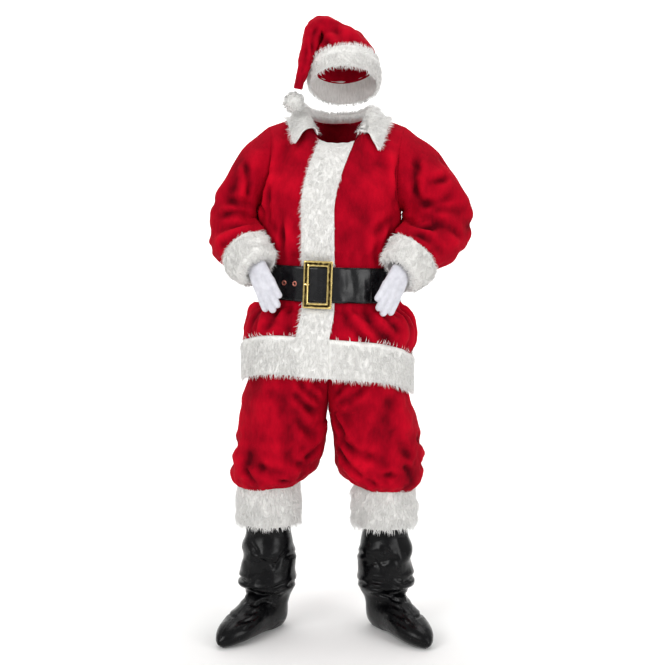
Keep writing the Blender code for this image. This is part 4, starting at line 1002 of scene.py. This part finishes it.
def buildBuckle():
    # a cast frame: a rim along its outer edge, a shallow channel and a second rim along its opening
    shape = beltShape
    width, height, bar = shape["buckleWidth"], shape["buckleHeight"], shape["bar"]
    bpy.ops.object.select_all(action="DESELECT")
    bpy.ops.mesh.primitive_plane_add(size=1, location=(0, 0, 0))
    item = bpy.context.active_object
    item.name = "belt_buckle_cast"
    item.scale = (width, height, 1)
    bpy.ops.object.transform_apply(location=False, rotation=False, scale=True)
    bpy.ops.object.mode_set(mode="EDIT")
    bpy.ops.mesh.select_all(action="SELECT")
    for inset, rise in shape["section"]:
        bpy.ops.mesh.inset(thickness=inset, depth=rise)
    bpy.ops.mesh.delete(type="FACE")
    bpy.ops.mesh.select_mode(type="EDGE")
    bpy.ops.mesh.select_all(action="DESELECT")
    bpy.ops.object.mode_set(mode="OBJECT")
    for edge in item.data.edges:
        first, second = (item.data.vertices[k].co for k in edge.vertices)
        edge.select = abs(first.x - second.x) > 1e-5 and abs(first.y - second.y) > 1e-5
    bpy.ops.object.mode_set(mode="EDIT")
    bpy.ops.mesh.bevel(offset=shape["corner"], segments=4, affect="EDGES")
    bpy.ops.object.mode_set(mode="OBJECT")
    bake(item, "SOLIDIFY", thickness=shape["castWall"], offset=-1.0)
    bake(item, "BEVEL", width=0.0005, segments=3, limit_method="ANGLE", angle_limit=radians(30))
    places = np.array([vertex.co for vertex in item.data.vertices])
    inside = np.minimum(width / 2 - np.abs(places[:, 0]), height / 2 - np.abs(places[:, 1]))
    # painted dark reflection along the middle of each bar, between the rims, which stay bright
    paint(item, "paintedDarkReflection", hump(inside, 0.0082, 0.0066))
    low = places[:, 2].min()
    item.data.transform(Matrix.Translation((0, 0, 0.0012 - low)))
    # the bar behind the strap that the strap is sewn round
    rest = height / 2 - bar
    bpy.ops.object.select_all(action="DESELECT")
    bpy.ops.mesh.primitive_cylinder_add(vertices=16, radius=shape["rod"], depth=2 * rest + 0.012,
                                        rotation=(pi / 2, 0, 0), location=(0, 0, -shape["rodBehind"]))
    rod = bpy.context.active_object
    only(rod)
    bpy.ops.object.transform_apply(location=True, rotation=True, scale=True)
    item.select_set(True)
    bpy.context.view_layer.objects.active = item
    bpy.ops.object.join()
    settle(item, beltFrame(0.0))
    only(item)
    bpy.ops.object.shade_smooth_by_angle(angle=radians(50))
    finish(item, brass, ("belt_buckle",))


def buildEyelets():
    shape = beltShape
    first = shape["buckleWidth"] / 2 + 0.018
    for number in range(2):
        angle = -(first + number * shape["eyeletPitch"]) / shape["frontRadius"]
        ring = (shape["eyeletOuter"] - shape["eyeletInner"]) / 2
        bpy.ops.object.select_all(action="DESELECT")
        bpy.ops.mesh.primitive_torus_add(major_segments=40, minor_segments=12, location=(0, 0, 0),
                                         major_radius=shape["eyeletInner"] + ring, minor_radius=ring)
        item = bpy.context.active_object
        item.name = "eyelet_%d_rolled" % (number + 1)
        item.scale = (1, 1, 0.42)
        bpy.ops.object.transform_apply(location=False, rotation=False, scale=True)
        place = beltFrame(angle)
        away = place.to_3x3() @ Vector((0, 0, 1))
        lift = strapLift(np.array([tau + angle]))[0] - shape["layer"] + 0.0008
        settle(item, Matrix.Translation(away * lift) @ place)
        item.data.shade_smooth()
        finish(item, copper, ("belt_eyelet_%d" % (number + 1),))


buildStrap()
buildStitches()
buildBuckle()
buildEyelets()
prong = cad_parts["belt_prong"]
for matSlot in prong.material_slots:
    matSlot.material = brass
print("belt made")


# --- trousers: each leg is gathered into its fur cuff below the knee

legShape = {
    "left": {"height": (0.453, 0.476, 0.520, 0.600, 0.684, 0.735, 0.780, 0.840, 0.920, 1.000),
             "centre": (0.174, 0.168, 0.158, 0.150, 0.136, 0.114, 0.098, 0.084, 0.040, 0.000),
             "half": (0.094, 0.120, 0.135, 0.137, 0.133, 0.131, 0.134, 0.150, 0.176, 0.185),
             "front": (0.098, 0.124, 0.134, 0.136, 0.144, 0.150, 0.150, 0.152, 0.150, 0.140),
             "back": (0.098, 0.124, 0.136, 0.138, 0.144, 0.146, 0.144, 0.146, 0.142, 0.130)},
    "right": {"height": (0.460, 0.484, 0.520, 0.600, 0.684, 0.735, 0.780, 0.840, 0.920, 1.000),
              "centre": (-0.184, -0.176, -0.163, -0.147, -0.136, -0.124, -0.104, -0.084, -0.040, 0.000),
              "half": (0.094, 0.119, 0.134, 0.137, 0.133, 0.136, 0.142, 0.150, 0.176, 0.185),
              "front": (0.098, 0.124, 0.134, 0.136, 0.144, 0.150, 0.152, 0.152, 0.150, 0.140),
              "back": (0.098, 0.124, 0.136, 0.138, 0.144, 0.146, 0.146, 0.146, 0.142, 0.130)},
    "crotch": 0.684, "waist": 1.000, "waistband": 0.040, "cuff": 0.116, "columns": 66, "rows": 96,
    "cut": {"flat": (0.88, 0.60), "area": 0.45}, "cuffCut": (0.62, 0.134), "bandCut": (1.04, 0.041),
    "pile": {"seed": 91, "perCm2": 5.6, "length": 0.021, "lift": 0.48, "droop": 0.30, "lock": 0.018,
             "stray": 0.20, "thick": 0.0012},
}
legCreases = {
    "right": {
        "front": ((0, 742, -42, 830, 4, 8, 10), (-10, 724, -88, 815, 8, 10, 12),
                  (-16, 690, -102, 790, 18, 11, 10), (-30, 622, -98, 740, 20, 13, 9),
                  (-68, 548, -16, 596, 6, 10, 9), (-212, 556, -130, 520, -12, 13, 11),
                  (-130, 575, -62, 540, -8, 12, 8), (-240, 600, -262, 510, 8, 14, 7),
                  (-262, 528, -214, 482, 4, 8, 9), (-172, 512, -112, 482, -5, 8, 8),
                  (-170, 800, -190, 650, 10, 20, 6), (-120, 790, -130, 660, -6, 18, 5)),
        "back": ((0, 735, -80, 810, 6, 12, 11), (-20, 690, -110, 740, 10, 13, 10),
                 (-40, 600, -140, 620, 12, 14, 9), (-230, 570, -110, 530, 14, 14, 12),
                 (-160, 520, -60, 550, -10, 12, 9), (-200, 800, -190, 640, 10, 18, 6)),
        "right": ((-70, 600, 60, 540, 12, 14, 10), (-50, 520, 80, 560, -8, 12, 8),
                  (20, 800, -10, 640, 10, 18, 6)),
    },
    "left": {
        "front": ((12, 742, 60, 820, -4, 8, 10), (14, 728, 110, 790, -10, 11, 10),
                  (12, 712, 68, 616, -12, 9, 12), (26, 640, 140, 560, -16, 13, 9),
                  (28, 592, 112, 505, -12, 10, 13), (100, 575, 185, 530, 10, 13, 9),
                  (205, 630, 262, 560, -10, 14, 10), (160, 505, 210, 500, 12, 9, 10),
                  (225, 545, 255, 490, 6, 10, 8), (108, 500, 150, 474, 4, 7, 8),
                  (180, 760, 165, 660, 10, 20, 6)),
        "back": ((10, 735, 85, 810, -6, 12, 11), (25, 680, 120, 735, -10, 13, 10),
                 (40, 590, 150, 625, -12, 14, 9), (230, 565, 110, 525, -14, 14, 12),
                 (180, 520, 70, 545, 10, 12, 9)),
        "left": ((-70, 610, 60, 550, 12, 14, 11), (-60, 520, 70, 555, -8, 12, 9),
                 (10, 800, -20, 650, 10, 18, 6)),
    },
}


def legRing(shape, side, turn, height):
    depth = np.where(np.sin(turn) > 0, atHeight(shape, "front", height), atHeight(shape, "back", height))
    gather = smooth((0.56 - height) / 0.10) * 0.012 * np.cos(9 * turn + 0.5)
    sag = 0.022 * hump(height, 0.55, 0.12) * np.cos(3 * turn + 7 * height)
    swell = 1 + gather + sag
    x = atHeight(shape, "centre", height) + side * atHeight(shape, "half", height) * swell * np.cos(turn)
    return stack(x, -depth * swell * np.sin(turn), height)


def seamTurn(shape, side, height, front):
    low, high = np.full_like(height, pi * 0.4), np.full_like(height, pi)
    for _ in range(30):
        middle = (low + high) / 2
        inside = legRing(shape, side, middle if front else -middle, height)[..., 0] * side > 0
        low, high = np.where(inside, middle, low), np.where(inside, high, middle)
    return np.where(height <= legShape["crotch"], pi, low)


def buildLeg(name, side):
    shape = legShape[name]
    bottom = shape["height"][0]
    heights = np.concatenate([np.linspace(bottom, 0.56, 40)[:-1],
                              np.linspace(0.56, legShape["crotch"], 26)[:-1],
                              np.linspace(legShape["crotch"], legShape["waist"], legShape["rows"] - 62)])
    share = np.linspace(0, 1, legShape["columns"])
    halves = []
    for front in (False, True):
        height, part = np.meshgrid(heights, share, indexing="ij")
        turn = seamTurn(shape, side, height, front) * part
        points = legRing(shape, side, turn if front else -turn, height)
        points[..., 0] = side * np.maximum(points[..., 0] * side, 0)
        halves.append(points)
    points = np.concatenate([halves[0][:, ::-1], halves[1][:, 1:]], axis=1)
    centre = stack(atHeight(shape, "centre", heights), 0, heights)[:, None]
    normals, turned = facingOut(points, points - centre, False)
    ends = unit(normals[:, 0] + normals[:, -1])
    below = heights <= legShape["crotch"]
    normals[below, 0] = ends[below]
    normals[below, -1] = ends[below]
    height = points[..., 2]
    around = np.linspace(-pi, pi, points.shape[1])[None] * np.ones_like(height)
    move = creased(points, normals, legCreases[name], 92)
    move += 0.0046 * rippled(points, 0.13, 93 + side) + 0.0026 * rippled(points, 0.06, 96 + side)
    move += 0.0012 * rippled(points, 0.03, 99)
    pleats = np.sin(around * 13 + 2.2 * np.sin(3 * around + side)) + 0.5 * np.sin(around * 23 + 1.0)
    move += 0.0015 * pleats * smooth((0.535 - height) / 0.07)
    seam = smooth((np.abs(points[..., 0]) - 0.002) / 0.03)
    crotchUp = height > legShape["crotch"] - 0.02
    move *= np.where(crotchUp, seam, 1.0) * smooth((height - bottom) / 0.012 + 0.3)
    points = points + normals * move[..., None]
    # the cloth pouches over the fur cuff, a little higher on the inside of the leg
    lowest = smooth((0.52 - height) / 0.06)
    inner = 0.5 - 0.5 * side * (points[..., 0] - centre[..., 0]) / atHeight(shape, "half", height)
    points[..., 2] += lowest * (0.012 * (inner - 0.4) + 0.0025 * np.sin(around * 5 + side))
    points[..., 0] = side * np.maximum(points[..., 0] * side, 0.0002)
    item = sewn("trouser_%s_plush" % name, points, False, foldLight(move), weld=True, flip=turned)
    nodes = ("trouser_%s_front" % name, "trouser_%s_back" % name)
    finish(item, plush, nodes)


def buildLegCuff(name, side):
    shape = legShape[name]
    end = shape["height"][0]
    turn = circle(112)
    share = np.linspace(-0.12, 1, 24)
    ring = legRing(shape, side, turn * side, np.full_like(turn, end))
    centre = np.array((shape["centre"][0], 0, end))
    v = share[:, None, None]
    points = centre + (ring - centre)[None] * 0.93 * (1 + 0.05 * v)
    points[..., 2] = end - legShape["cuff"] * share[:, None]
    away = unit((points - centre) * (1, 1, 0))
    puff = (0.003 + 0.006 * np.sin(pi * np.clip(share, 0, 1))[:, None]
            + 0.004 * rippled(points, 0.05, 101 + side))
    points = points + away * puff[..., None]
    normals, turned = facingOut(points, away)
    settings = dict(legShape["pile"], seed=legShape["pile"]["seed"] + side)
    names = ("leg_cuff_%s_fur" % name, "leg_cuff_%s_pile" % name)
    furPiece(names, points, (points, normals), (0, 0, -1), settings, "trouser_cuff_fur_" + name,
             True, flip=turned)


def buildWaistband():
    # an elastic casing, ruffled
    left = legShape["left"]
    turn = circle(180)
    heights = np.linspace(legShape["waist"], legShape["waist"] + legShape["waistband"], 9)
    depth = np.where(np.sin(turn) > 0, left["front"][-1], left["back"][-1])
    ruffle = 1 + 0.010 * np.sin(turn * 41)
    flat = stack(left["half"][-1] * np.cos(turn) * ruffle, -depth * np.sin(turn) * ruffle, 0)
    points = np.repeat(flat[None], len(heights), axis=0)
    points[..., 2] = heights[:, None]
    _, turned = facingOut(points, unit(points * (1, 1, 0)))
    item = sewn("waistband_plush", points, True, wall=0.003, flip=turned)
    finish(item, plush, ("trouser_waistband",))


for legName, legSide in (("left", 1), ("right", -1)):
    buildLeg(legName, legSide)
    buildLegCuff(legName, legSide)
buildWaistband()
print("trousers sewn")


# --- boot covers: glossy vinyl pulled over the shoes, slouched at the ankle

bootShape = {
    "along": (-0.004, -0.004, 0, 0, 0.002, 0.008, 0.004, 0.012, 0.068, 0.120, 0.166, 0.204, 0.230, 0.243),
    "height": (0.35, 0.305, 0.262, 0.22, 0.165, 0.138, 0.108, 0.066, 0.06, 0.05, 0.041, 0.034, 0.027, 0.023),
    "lean": (0, 0, 0, 0, 3, 8, 22, 42, 66, 80, 88, 90, 90, 90),
    "side": (0.068, 0.070, 0.081, 0.082, 0.087, 0.084, 0.064, 0.056, 0.053, 0.056, 0.055, 0.041, 0.023, 0.008),
    "deep": (0.070, 0.072, 0.082, 0.084, 0.090, 0.087, 0.076, 0.094, 0.065, 0.049, 0.038, 0.030, 0.020, 0.008),
    "place": {"left": (0.179, 0.0, 0.0), "right": (-0.188, 0.0, 0.0)},
    "turn": {"left": radians(30), "right": radians(-34)},
    "columns": 76, "rows": 104, "wall": 0.0016, "cut": {"flat": (0.60, 0.48), "area": 0.22},
}
bootCreases = {
    "left": {
        "front": ((102, 172, 235, 148, 10, 5, 9), (118, 152, 205, 128, 8, 4, 6),
                  (120, 215, 200, 238, 8, 6, 5), (130, 130, 228, 104, 8, 5, 8),
                  (165, 290, 244, 215, -10, 6, 5), (112, 262, 165, 196, 6, 5, 4),
                  (150, 112, 238, 88, 6, 4, 6), (172, 88, 250, 70, 5, 4, 5), (190, 70, 238, 56, 4, 4, 4),
                  (205, 186, 250, 160, 4, 4, 5)),
        "back": ((110, 180, 240, 155, 10, 6, 8), (120, 125, 220, 110, -8, 5, 6),
                 (130, 240, 225, 205, 8, 6, 5)),
        "left": ((-80, 170, 60, 150, 10, 6, 8), (-100, 110, 40, 100, 10, 5, 6), (-150, 78, -60, 66, 6, 4, 4)),
        "right": ((-70, 165, 60, 160, -10, 6, 8), (-60, 250, 50, 220, 8, 6, 5)),
    },
    "right": {
        "front": ((-252, 148, -116, 172, -10, 5, 10), (-215, 128, -130, 150, -8, 4, 6),
                  (-235, 240, -150, 216, 8, 6, 5), (-240, 104, -142, 130, -8, 5, 8),
                  (-245, 290, -190, 205, 10, 6, 6), (-170, 196, -125, 262, 6, 5, 4),
                  (-250, 88, -165, 110, -6, 4, 6), (-268, 70, -190, 88, -5, 4, 5),
                  (-262, 54, -215, 68, -4, 4, 4), (-262, 160, -215, 186, -4, 4, 5)),
        "back": ((-245, 160, -120, 180, 10, 6, 8), (-230, 115, -130, 125, 8, 5, 6),
                 (-235, 205, -140, 240, 8, 6, 5)),
        "right": ((-80, 165, 60, 150, 10, 6, 9), (-100, 105, 40, 100, 10, 5, 6),
                  (-150, 78, -60, 66, 6, 4, 4)),
        "left": ((-70, 160, 60, 165, -10, 6, 8), (-60, 240, 50, 225, 8, 6, 5)),
    },
}


def buildBoot(name, side):
    shape = bootShape
    last = len(shape["along"]) - 1
    turn, along = np.meshgrid(circle(shape["columns"]), np.linspace(0, last, shape["rows"]))
    turnOut = shape["turn"][name]
    lean = np.radians(through(shape["lean"], along))
    forward = np.array((sin(turnOut), -cos(turnOut), 0))
    sideways = np.array((cos(turnOut), sin(turnOut), 0))
    deep = forward * np.cos(lean)[..., None] + np.array((0, 0, 1)) * np.sin(lean)[..., None]
    centre = np.array(shape["place"][name]) + forward * through(shape["along"], along)[..., None] \
        + np.array((0, 0, 1)) * through(shape["height"], along)[..., None]
    points = centre + sideways * (through(shape["side"], along) * np.sin(turn))[..., None] \
        + deep * (through(shape["deep"], along) * np.cos(turn))[..., None]
    slouch = hump(along, 2.6, 1.3) * 0.006 * np.cos(3 * turn + along * 2.2)
    away = unit(points - centre)
    points = points + away * slouch[..., None]
    normals, turned = facingOut(points, away)
    move = creased(points, normals, bootCreases[name], 111)
    upper = smooth((points[..., 2] - 0.03) / 0.04) * smooth((last - 1.6 - along) / 1.5)
    move += (0.0009 * rippled(points, 0.055, 112 + side) + 0.0004 * rippled(points, 0.024, 115)) * upper
    ridge = np.exp(-(np.minimum(np.abs(turn - pi), np.minimum(turn, tau - turn)) / 0.03) ** 2) * 0.0012
    points = points + normals * (move * upper + ridge * smooth((last - along) / 1.0))[..., None]
    ground = 0.0008
    flattened = ground + np.maximum(points[..., 2] - ground, 0) * 0.4
    points[..., 2] = np.where(points[..., 2] < ground + 0.004, flattened, points[..., 2])
    # the toe closes in a small round
    tip = points[-1].mean(axis=0)
    closing = np.array([0.6, 0.25, 0.0])[:, None, None]
    nose = tip + (points[-1] - tip) * closing + forward * 0.0025 * (1 - closing ** 2)
    points = np.concatenate([points, nose])
    item = sewn("boot_cover_%s_vinyl" % name, points, True, wall=shape["wall"], weld=True, flip=turned)
    nodes = ("boot_cover_%s_a" % name, "boot_cover_%s_b" % name)
    finish(item, bootVinyl, nodes)


buildBoot("left", 1)
buildBoot("right", -1)
print("boot covers made")


# --- hat: its tail folds over to the wearer's right and ends in the pompom

hatShape = {
    "x": (0.048, 0.049, 0.038, 0.014, -0.014, -0.036, -0.055, -0.072, -0.089),
    "y": (0.012, 0.016, 0.018, 0.014, 0.005, -0.007, -0.020, -0.031, -0.040),
    "height": (1.680, 1.742, 1.792, 1.830, 1.852, 1.837, 1.786, 1.722, 1.662),
    "pitch": (24, 22, 16, 8, 0, -4, -6, -6, -4),
    "roll": (0, -4, -16, -38, -80, -128, -160, -168, -170),
    "side": (0.099, 0.097, 0.080, 0.044, 0.030, 0.032, 0.027, 0.019, 0.013),
    "deep": (0.112, 0.110, 0.092, 0.072, 0.054, 0.044, 0.038, 0.030, 0.018),
    "columns": 84, "rows": 110, "cut": {"flat": (0.66, 0.40), "area": 0.11}, "bandCut": (0.68, 0.070),
    "pompom": (-0.101, -0.044, 1.622), "pompomRadius": 0.027,
    "pile": {"seed": 121, "perCm2": 8.5, "length": 0.016, "lift": 0.62, "droop": 0.6, "lock": 0.013,
             "stray": 0.55, "thick": 0.0011},
}
hatCreases = {
    "front": ((-30, 1846, -44, 1760, -6, 7, 8), (10, 1842, 40, 1770, 8, 9, 7),
              (60, 1815, 90, 1760, 6, 10, 5), (-20, 1800, 30, 1765, 6, 9, 6),
              (-62, 1800, -80, 1700, 4, 6, 6)),
    "back": ((-20, 1840, 30, 1770, 8, 9, 7), (60, 1810, 95, 1740, 6, 11, 6), (-60, 1800, -78, 1700, 4, 6, 6)),
    "left": ((-40, 1790, -20, 1720, 6, 10, 5), (50, 1790, 60, 1710, 6, 10, 6)),
}


def hatSurface(turn, along):
    shape = hatShape
    pitch, roll = np.radians(through(shape["pitch"], along)), np.radians(through(shape["roll"], along))
    axis = unit(stack(np.sin(roll), np.sin(pitch) * np.cos(roll), np.cos(roll) * np.cos(pitch)))
    ahead = stack(0 * pitch, -np.cos(pitch), np.sin(pitch))
    ahead = unit(ahead - axis * np.sum(ahead * axis, axis=-1, keepdims=True))
    aside = -unit(np.cross(ahead, axis))
    centre = stack(through(shape["x"], along), through(shape["y"], along), through(shape["height"], along))
    fold = 1 + 0.05 * hump(along, 3.2, 2.0) * np.cos(5 * turn + 1.0)
    across = (through(shape["side"], along) * fold * np.cos(turn))[..., None]
    onward = (through(shape["deep"], along) * fold * np.sin(turn))[..., None]
    return centre + aside * across + ahead * onward, unit(aside * across + ahead * onward)


def buildHat():
    shape = hatShape
    last = len(shape["x"]) - 1
    turn, along = np.meshgrid(circle(shape["columns"]), np.linspace(0.90, last, shape["rows"]))
    points, away = hatSurface(turn, along)
    normals, turned = facingOut(points, away)
    move = creased(points, normals, hatCreases, 122)
    move += 0.0030 * rippled(points, 0.07, 123) + 0.0014 * rippled(points, 0.03, 124)
    move *= smooth((along - 0.9) / 0.3) * smooth((last - along) / 0.5)
    points = points + normals * move[..., None]
    item = sewn("hat_plush", points, True, foldLight(move), flip=turned)
    finish(item, plush, ("hat_front", "hat_back"))

    turn, along = np.meshgrid(circle(104), np.linspace(-0.12, 1.02, 20))
    points, away = hatSurface(turn, along)
    share = (along + 0.12) / 1.14
    height = 0.001 + 0.008 * np.sqrt(np.maximum(np.sin(pi * share), 0)) + 0.0018 * rippled(points, 0.035, 125)
    points = points + away * height[..., None]
    normals, turned = facingOut(points, away)
    comb = stack(0 * along, 0 * along, np.where(share > 0.72, 0.9, -1.0)) + away * 0.3
    furPiece(("hat_band_fur_ground", "hat_band_pile"), points, (points, normals), comb[:, :1], shape["pile"],
             "hat_band_fur", True, flip=turned)


def buildPompom():
    shape = hatShape
    centre = np.array(shape["pompom"])
    turn, rise = np.meshgrid(circle(40), np.linspace(-pi / 2 + 0.02, pi / 2 - 0.02, 24))
    away = stack(np.cos(rise) * np.cos(turn), np.cos(rise) * np.sin(turn), np.sin(rise))
    points = centre + away * (shape["pompomRadius"] + 0.002 * rippled(away * 0.1, 0.05, 131))[..., None]
    ground = meshObject("pompom_ball", points.reshape(-1, 3), gridFaces(24, 40, True))
    closeEnds(ground)
    ground.data.shade_smooth()
    settings = dict(shape["pile"], seed=132, perCm2=11.0, length=0.012, lift=1.6, droop=0.9, stray=0.8)
    growFur("pompom_pile", points, away, (0.2, 0.1, -1.0), settings, True)
    finish(ground, furBacking, ("hat_pompom",))


buildHat()
buildPompom()
print("hat made")


# --- gloves: nylon knit, fingers down over the belt

gloveShape = {
    # start and end in the hand's own plane, and the thickness at each
    "parts": {"palmIndex": (0.016, 0.000, 0.000, 0.025, 0.062, 0.000, 0.020, 0.017),
              "palmLittle": (-0.014, 0.000, 0.000, -0.021, 0.056, 0.000, 0.019, 0.016),
              "palmMiddle": (0.001, 0.006, 0.001, 0.002, 0.064, 0.001, 0.020, 0.018),
              "index": (0.0270, 0.058, 0.000, 0.0330, 0.119, 0.000, 0.0138, 0.0104),
              "middle": (0.0085, 0.064, 0.001, 0.0100, 0.131, 0.000, 0.0140, 0.0106),
              "ring": (-0.0100, 0.060, 0.001, -0.0120, 0.124, 0.000, 0.0136, 0.0102),
              "little": (-0.0270, 0.052, 0.000, -0.0320, 0.102, 0.000, 0.0124, 0.0092),
              "thumb": (0.014, 0.008, -0.004, 0.030, 0.050, -0.030, 0.0155, 0.0112)},
    "wrist": 0.028, "knit": 0.0016, "voxel": 0.0026, "cut": {"flat": (0.20, 0.22), "area": 0.034},
    "right": {"mirror": 1, "sleeve": (-0.232, -0.130, 1.160), "palm": (-0.206, -0.157, 1.138),
              "aim": (0.046, -0.012, -0.105), "facing": (-0.58, -0.81, 0.0)},
    "left": {"mirror": -1, "sleeve": (0.242, -0.131, 1.150), "palm": (0.213, -0.159, 1.126),
             "aim": (-0.050, -0.012, -0.100), "facing": (0.58, -0.81, 0.0)},
}


def roundRod(start, end, radius0, radius1, flatten, thick, sides=20):
    path = end - start
    length = np.linalg.norm(path)
    way = path / length
    side = unit(np.cross(way, thick))
    over = np.cross(side, way)
    rings = [(-radius0 * sin(a), radius0 * cos(a)) for a in np.radians((85, 65, 40, 20))]
    rings += [(length * s, radius0 + (radius1 - radius0) * s) for s in (0, 0.33, 0.66, 1)]
    rings += [(length + radius1 * sin(a), radius1 * cos(a)) for a in np.radians((20, 40, 65, 85))]
    turn = circle(sides)
    rows = [start + way * d + np.outer(np.cos(turn), side) * r + np.outer(np.sin(turn), over) * r * flatten
            for d, r in rings]
    return np.array(rows)


def buildGlove(name):
    shape = gloveShape
    hand = shape[name]
    palm, facing = np.array(hand["palm"]), np.array(hand["facing"])
    along = unit(np.array(hand["aim"]))
    thick = unit(facing - along * (facing @ along))
    aside = unit(np.cross(along, thick))

    def place(x, y, z):
        return palm + aside * x * hand["mirror"] + along * y + thick * z

    wrist = np.array(hand["sleeve"])
    rods = [roundRod(wrist, place(0, 0.006, 0), shape["wrist"], shape["wrist"], 0.8, thick)]
    for part, (x0, y0, z0, x1, y1, z1, r0, r1) in shape["parts"].items():
        flatten = 0.86 if part.startswith("palm") else 1.0
        if part in ("index", "middle", "ring", "little"):
            # the finger bends a little at its joint, over the belt's edge
            knuckle, tip = place(x0, y0, z0), place(x1, y1, z1)
            joint = knuckle * 0.52 + tip * 0.48 + thick * 0.0018
            middleRadius = r0 * 0.5 + r1 * 0.5
            rods.append(roundRod(knuckle, joint, r0 * 0.98, middleRadius, flatten, thick))
            rods.append(roundRod(joint, tip, middleRadius, r1 * 1.06, flatten, thick))
        else:
            rods.append(roundRod(place(x0, y0, z0), place(x1, y1, z1), r0, r1, flatten, thick))
    vertices, faces = [], []
    for rod in rods:
        offset = sum(len(v) for v in vertices)
        rows, columns = rod.shape[:2]
        vertices.append(rod.reshape(-1, 3))
        faces.append(gridFaces(rows, columns, True) + offset)
    item = meshObject("glove_%s_knit" % name, np.concatenate(vertices), np.concatenate(faces))
    closeEnds(item)
    bake(item, "REMESH", mode="VOXEL", voxel_size=shape["voxel"])
    bake(item, "SMOOTH", factor=0.5, iterations=3)
    # the wrist is open: what lies past its end is cut off
    cutAt = Vector(wrist - neckAt)
    away = Vector(unit(wrist - palm))
    only(item)
    bpy.ops.object.mode_set(mode="EDIT")
    bpy.ops.mesh.select_all(action="SELECT")
    bpy.ops.mesh.bisect(plane_co=cutAt, plane_no=away, clear_outer=True)
    bpy.ops.object.mode_set(mode="OBJECT")
    bake(item, "SOLIDIFY", thickness=shape["knit"], offset=-1.0, use_even_offset=False)
    item.data.shade_smooth()
    finish(item, knit, ("glove_" + name,))


buildGlove("left")
buildGlove("right")
print("gloves knitted")


# --- studio: a pale sweep, soft lights and the camera

studio = {
    "sweepWidth": 14.0, "sweepFront": -6.0, "sweepBack": 6.4, "sweepTop": 6.0, "colour": "#F4F4F3",
    "lens": 65.67, "eye": (0.0137, -3.7, 1.3), "tilt": 5.7, "air": 0.60, "bend": 1.6,
    # name, place, target, size and power
    "lights": (("keyLight", (-2.6, -3.4, 3.0), (0, 0, 1.1), (2.2, 2.2), 90),
               ("fillLight", (3.0, -3.0, 1.8), (0, 0, 1.0), (2.0, 2.6), 60),
               ("topLight", (0.2, 0.6, 4.2), (0, 0, 1.0), (3.0, 2.0), 60),
               ("sweepLight", (0.0, 3.6, 4.4), (0, 6.4, 1.6), (8.0, 1.0), 260)),
}


def areaLight(name, place, target, size, power):
    data = bpy.data.lights.new(name, "AREA")
    data.shape = "RECTANGLE"
    data.size, data.size_y = size
    data.energy = power
    item = bpy.data.objects.new(name, data)
    bpy.context.scene.collection.objects.link(item)
    item.location = Vector(place) - Vector(neckAt)
    way = Vector(target) - Vector(place)
    item.rotation_euler = way.to_track_quat("-Z", "Y").to_euler()
    return item


def buildStudio():
    floorZ = cadBox[0][2]
    bpy.ops.object.select_all(action="DESELECT")
    bpy.ops.mesh.primitive_plane_add(size=1, location=(0, 0, 0))
    sweep = bpy.context.active_object
    sweep.name = "studio_sweep"
    half = studio["sweepWidth"] / 2
    corners = [(-half, studio["sweepFront"], floorZ), (half, studio["sweepFront"], floorZ),
               (-half, studio["sweepBack"], floorZ), (half, studio["sweepBack"], floorZ)]
    for vertex, corner in zip(sweep.data.vertices, corners):
        vertex.co = corner
    bpy.ops.object.mode_set(mode="EDIT")
    bpy.ops.mesh.select_all(action="DESELECT")
    bpy.ops.object.mode_set(mode="OBJECT")
    for edge in sweep.data.edges:
        edge.select = all(sweep.data.vertices[k].co.y > 0 for k in edge.vertices)
    bpy.ops.object.mode_set(mode="EDIT")
    bpy.ops.mesh.select_mode(type="EDGE")
    bpy.ops.mesh.extrude_edges_move(TRANSFORM_OT_translate={"value": (0, 0, studio["sweepTop"])})
    bpy.ops.object.mode_set(mode="OBJECT")
    bake(sweep, "BEVEL", width=studio["bend"], segments=24, limit_method="ANGLE", angle_limit=radians(30))
    sweep.data.shade_smooth()
    paper = startMaterial("paleSweep", Base_Color=linear(studio["colour"]), Roughness=0.9)[0]
    sweep.data.materials.append(paper)
    for light in studio["lights"]:
        areaLight(*light)
    bpy.context.scene.view_settings.view_transform = "Standard"
    world = bpy.data.worlds.new("studioAir")
    bpy.context.scene.world = world
    world.use_nodes = True
    air = world.node_tree.nodes["Background"].inputs
    air["Color"].default_value = (1, 1, 1, 1)
    air["Strength"].default_value = studio["air"]
    data = bpy.data.cameras.new("camera")
    data.lens = studio["lens"]
    data.sensor_width = 36.0
    camera = bpy.data.objects.new("camera", data)
    bpy.context.scene.collection.objects.link(camera)
    camera.location = Vector(studio["eye"]) - Vector(neckAt)
    camera.rotation_euler = (radians(90 - studio["tilt"]), 0, 0)
    bpy.context.scene.camera = camera


buildStudio()
print("studio set")
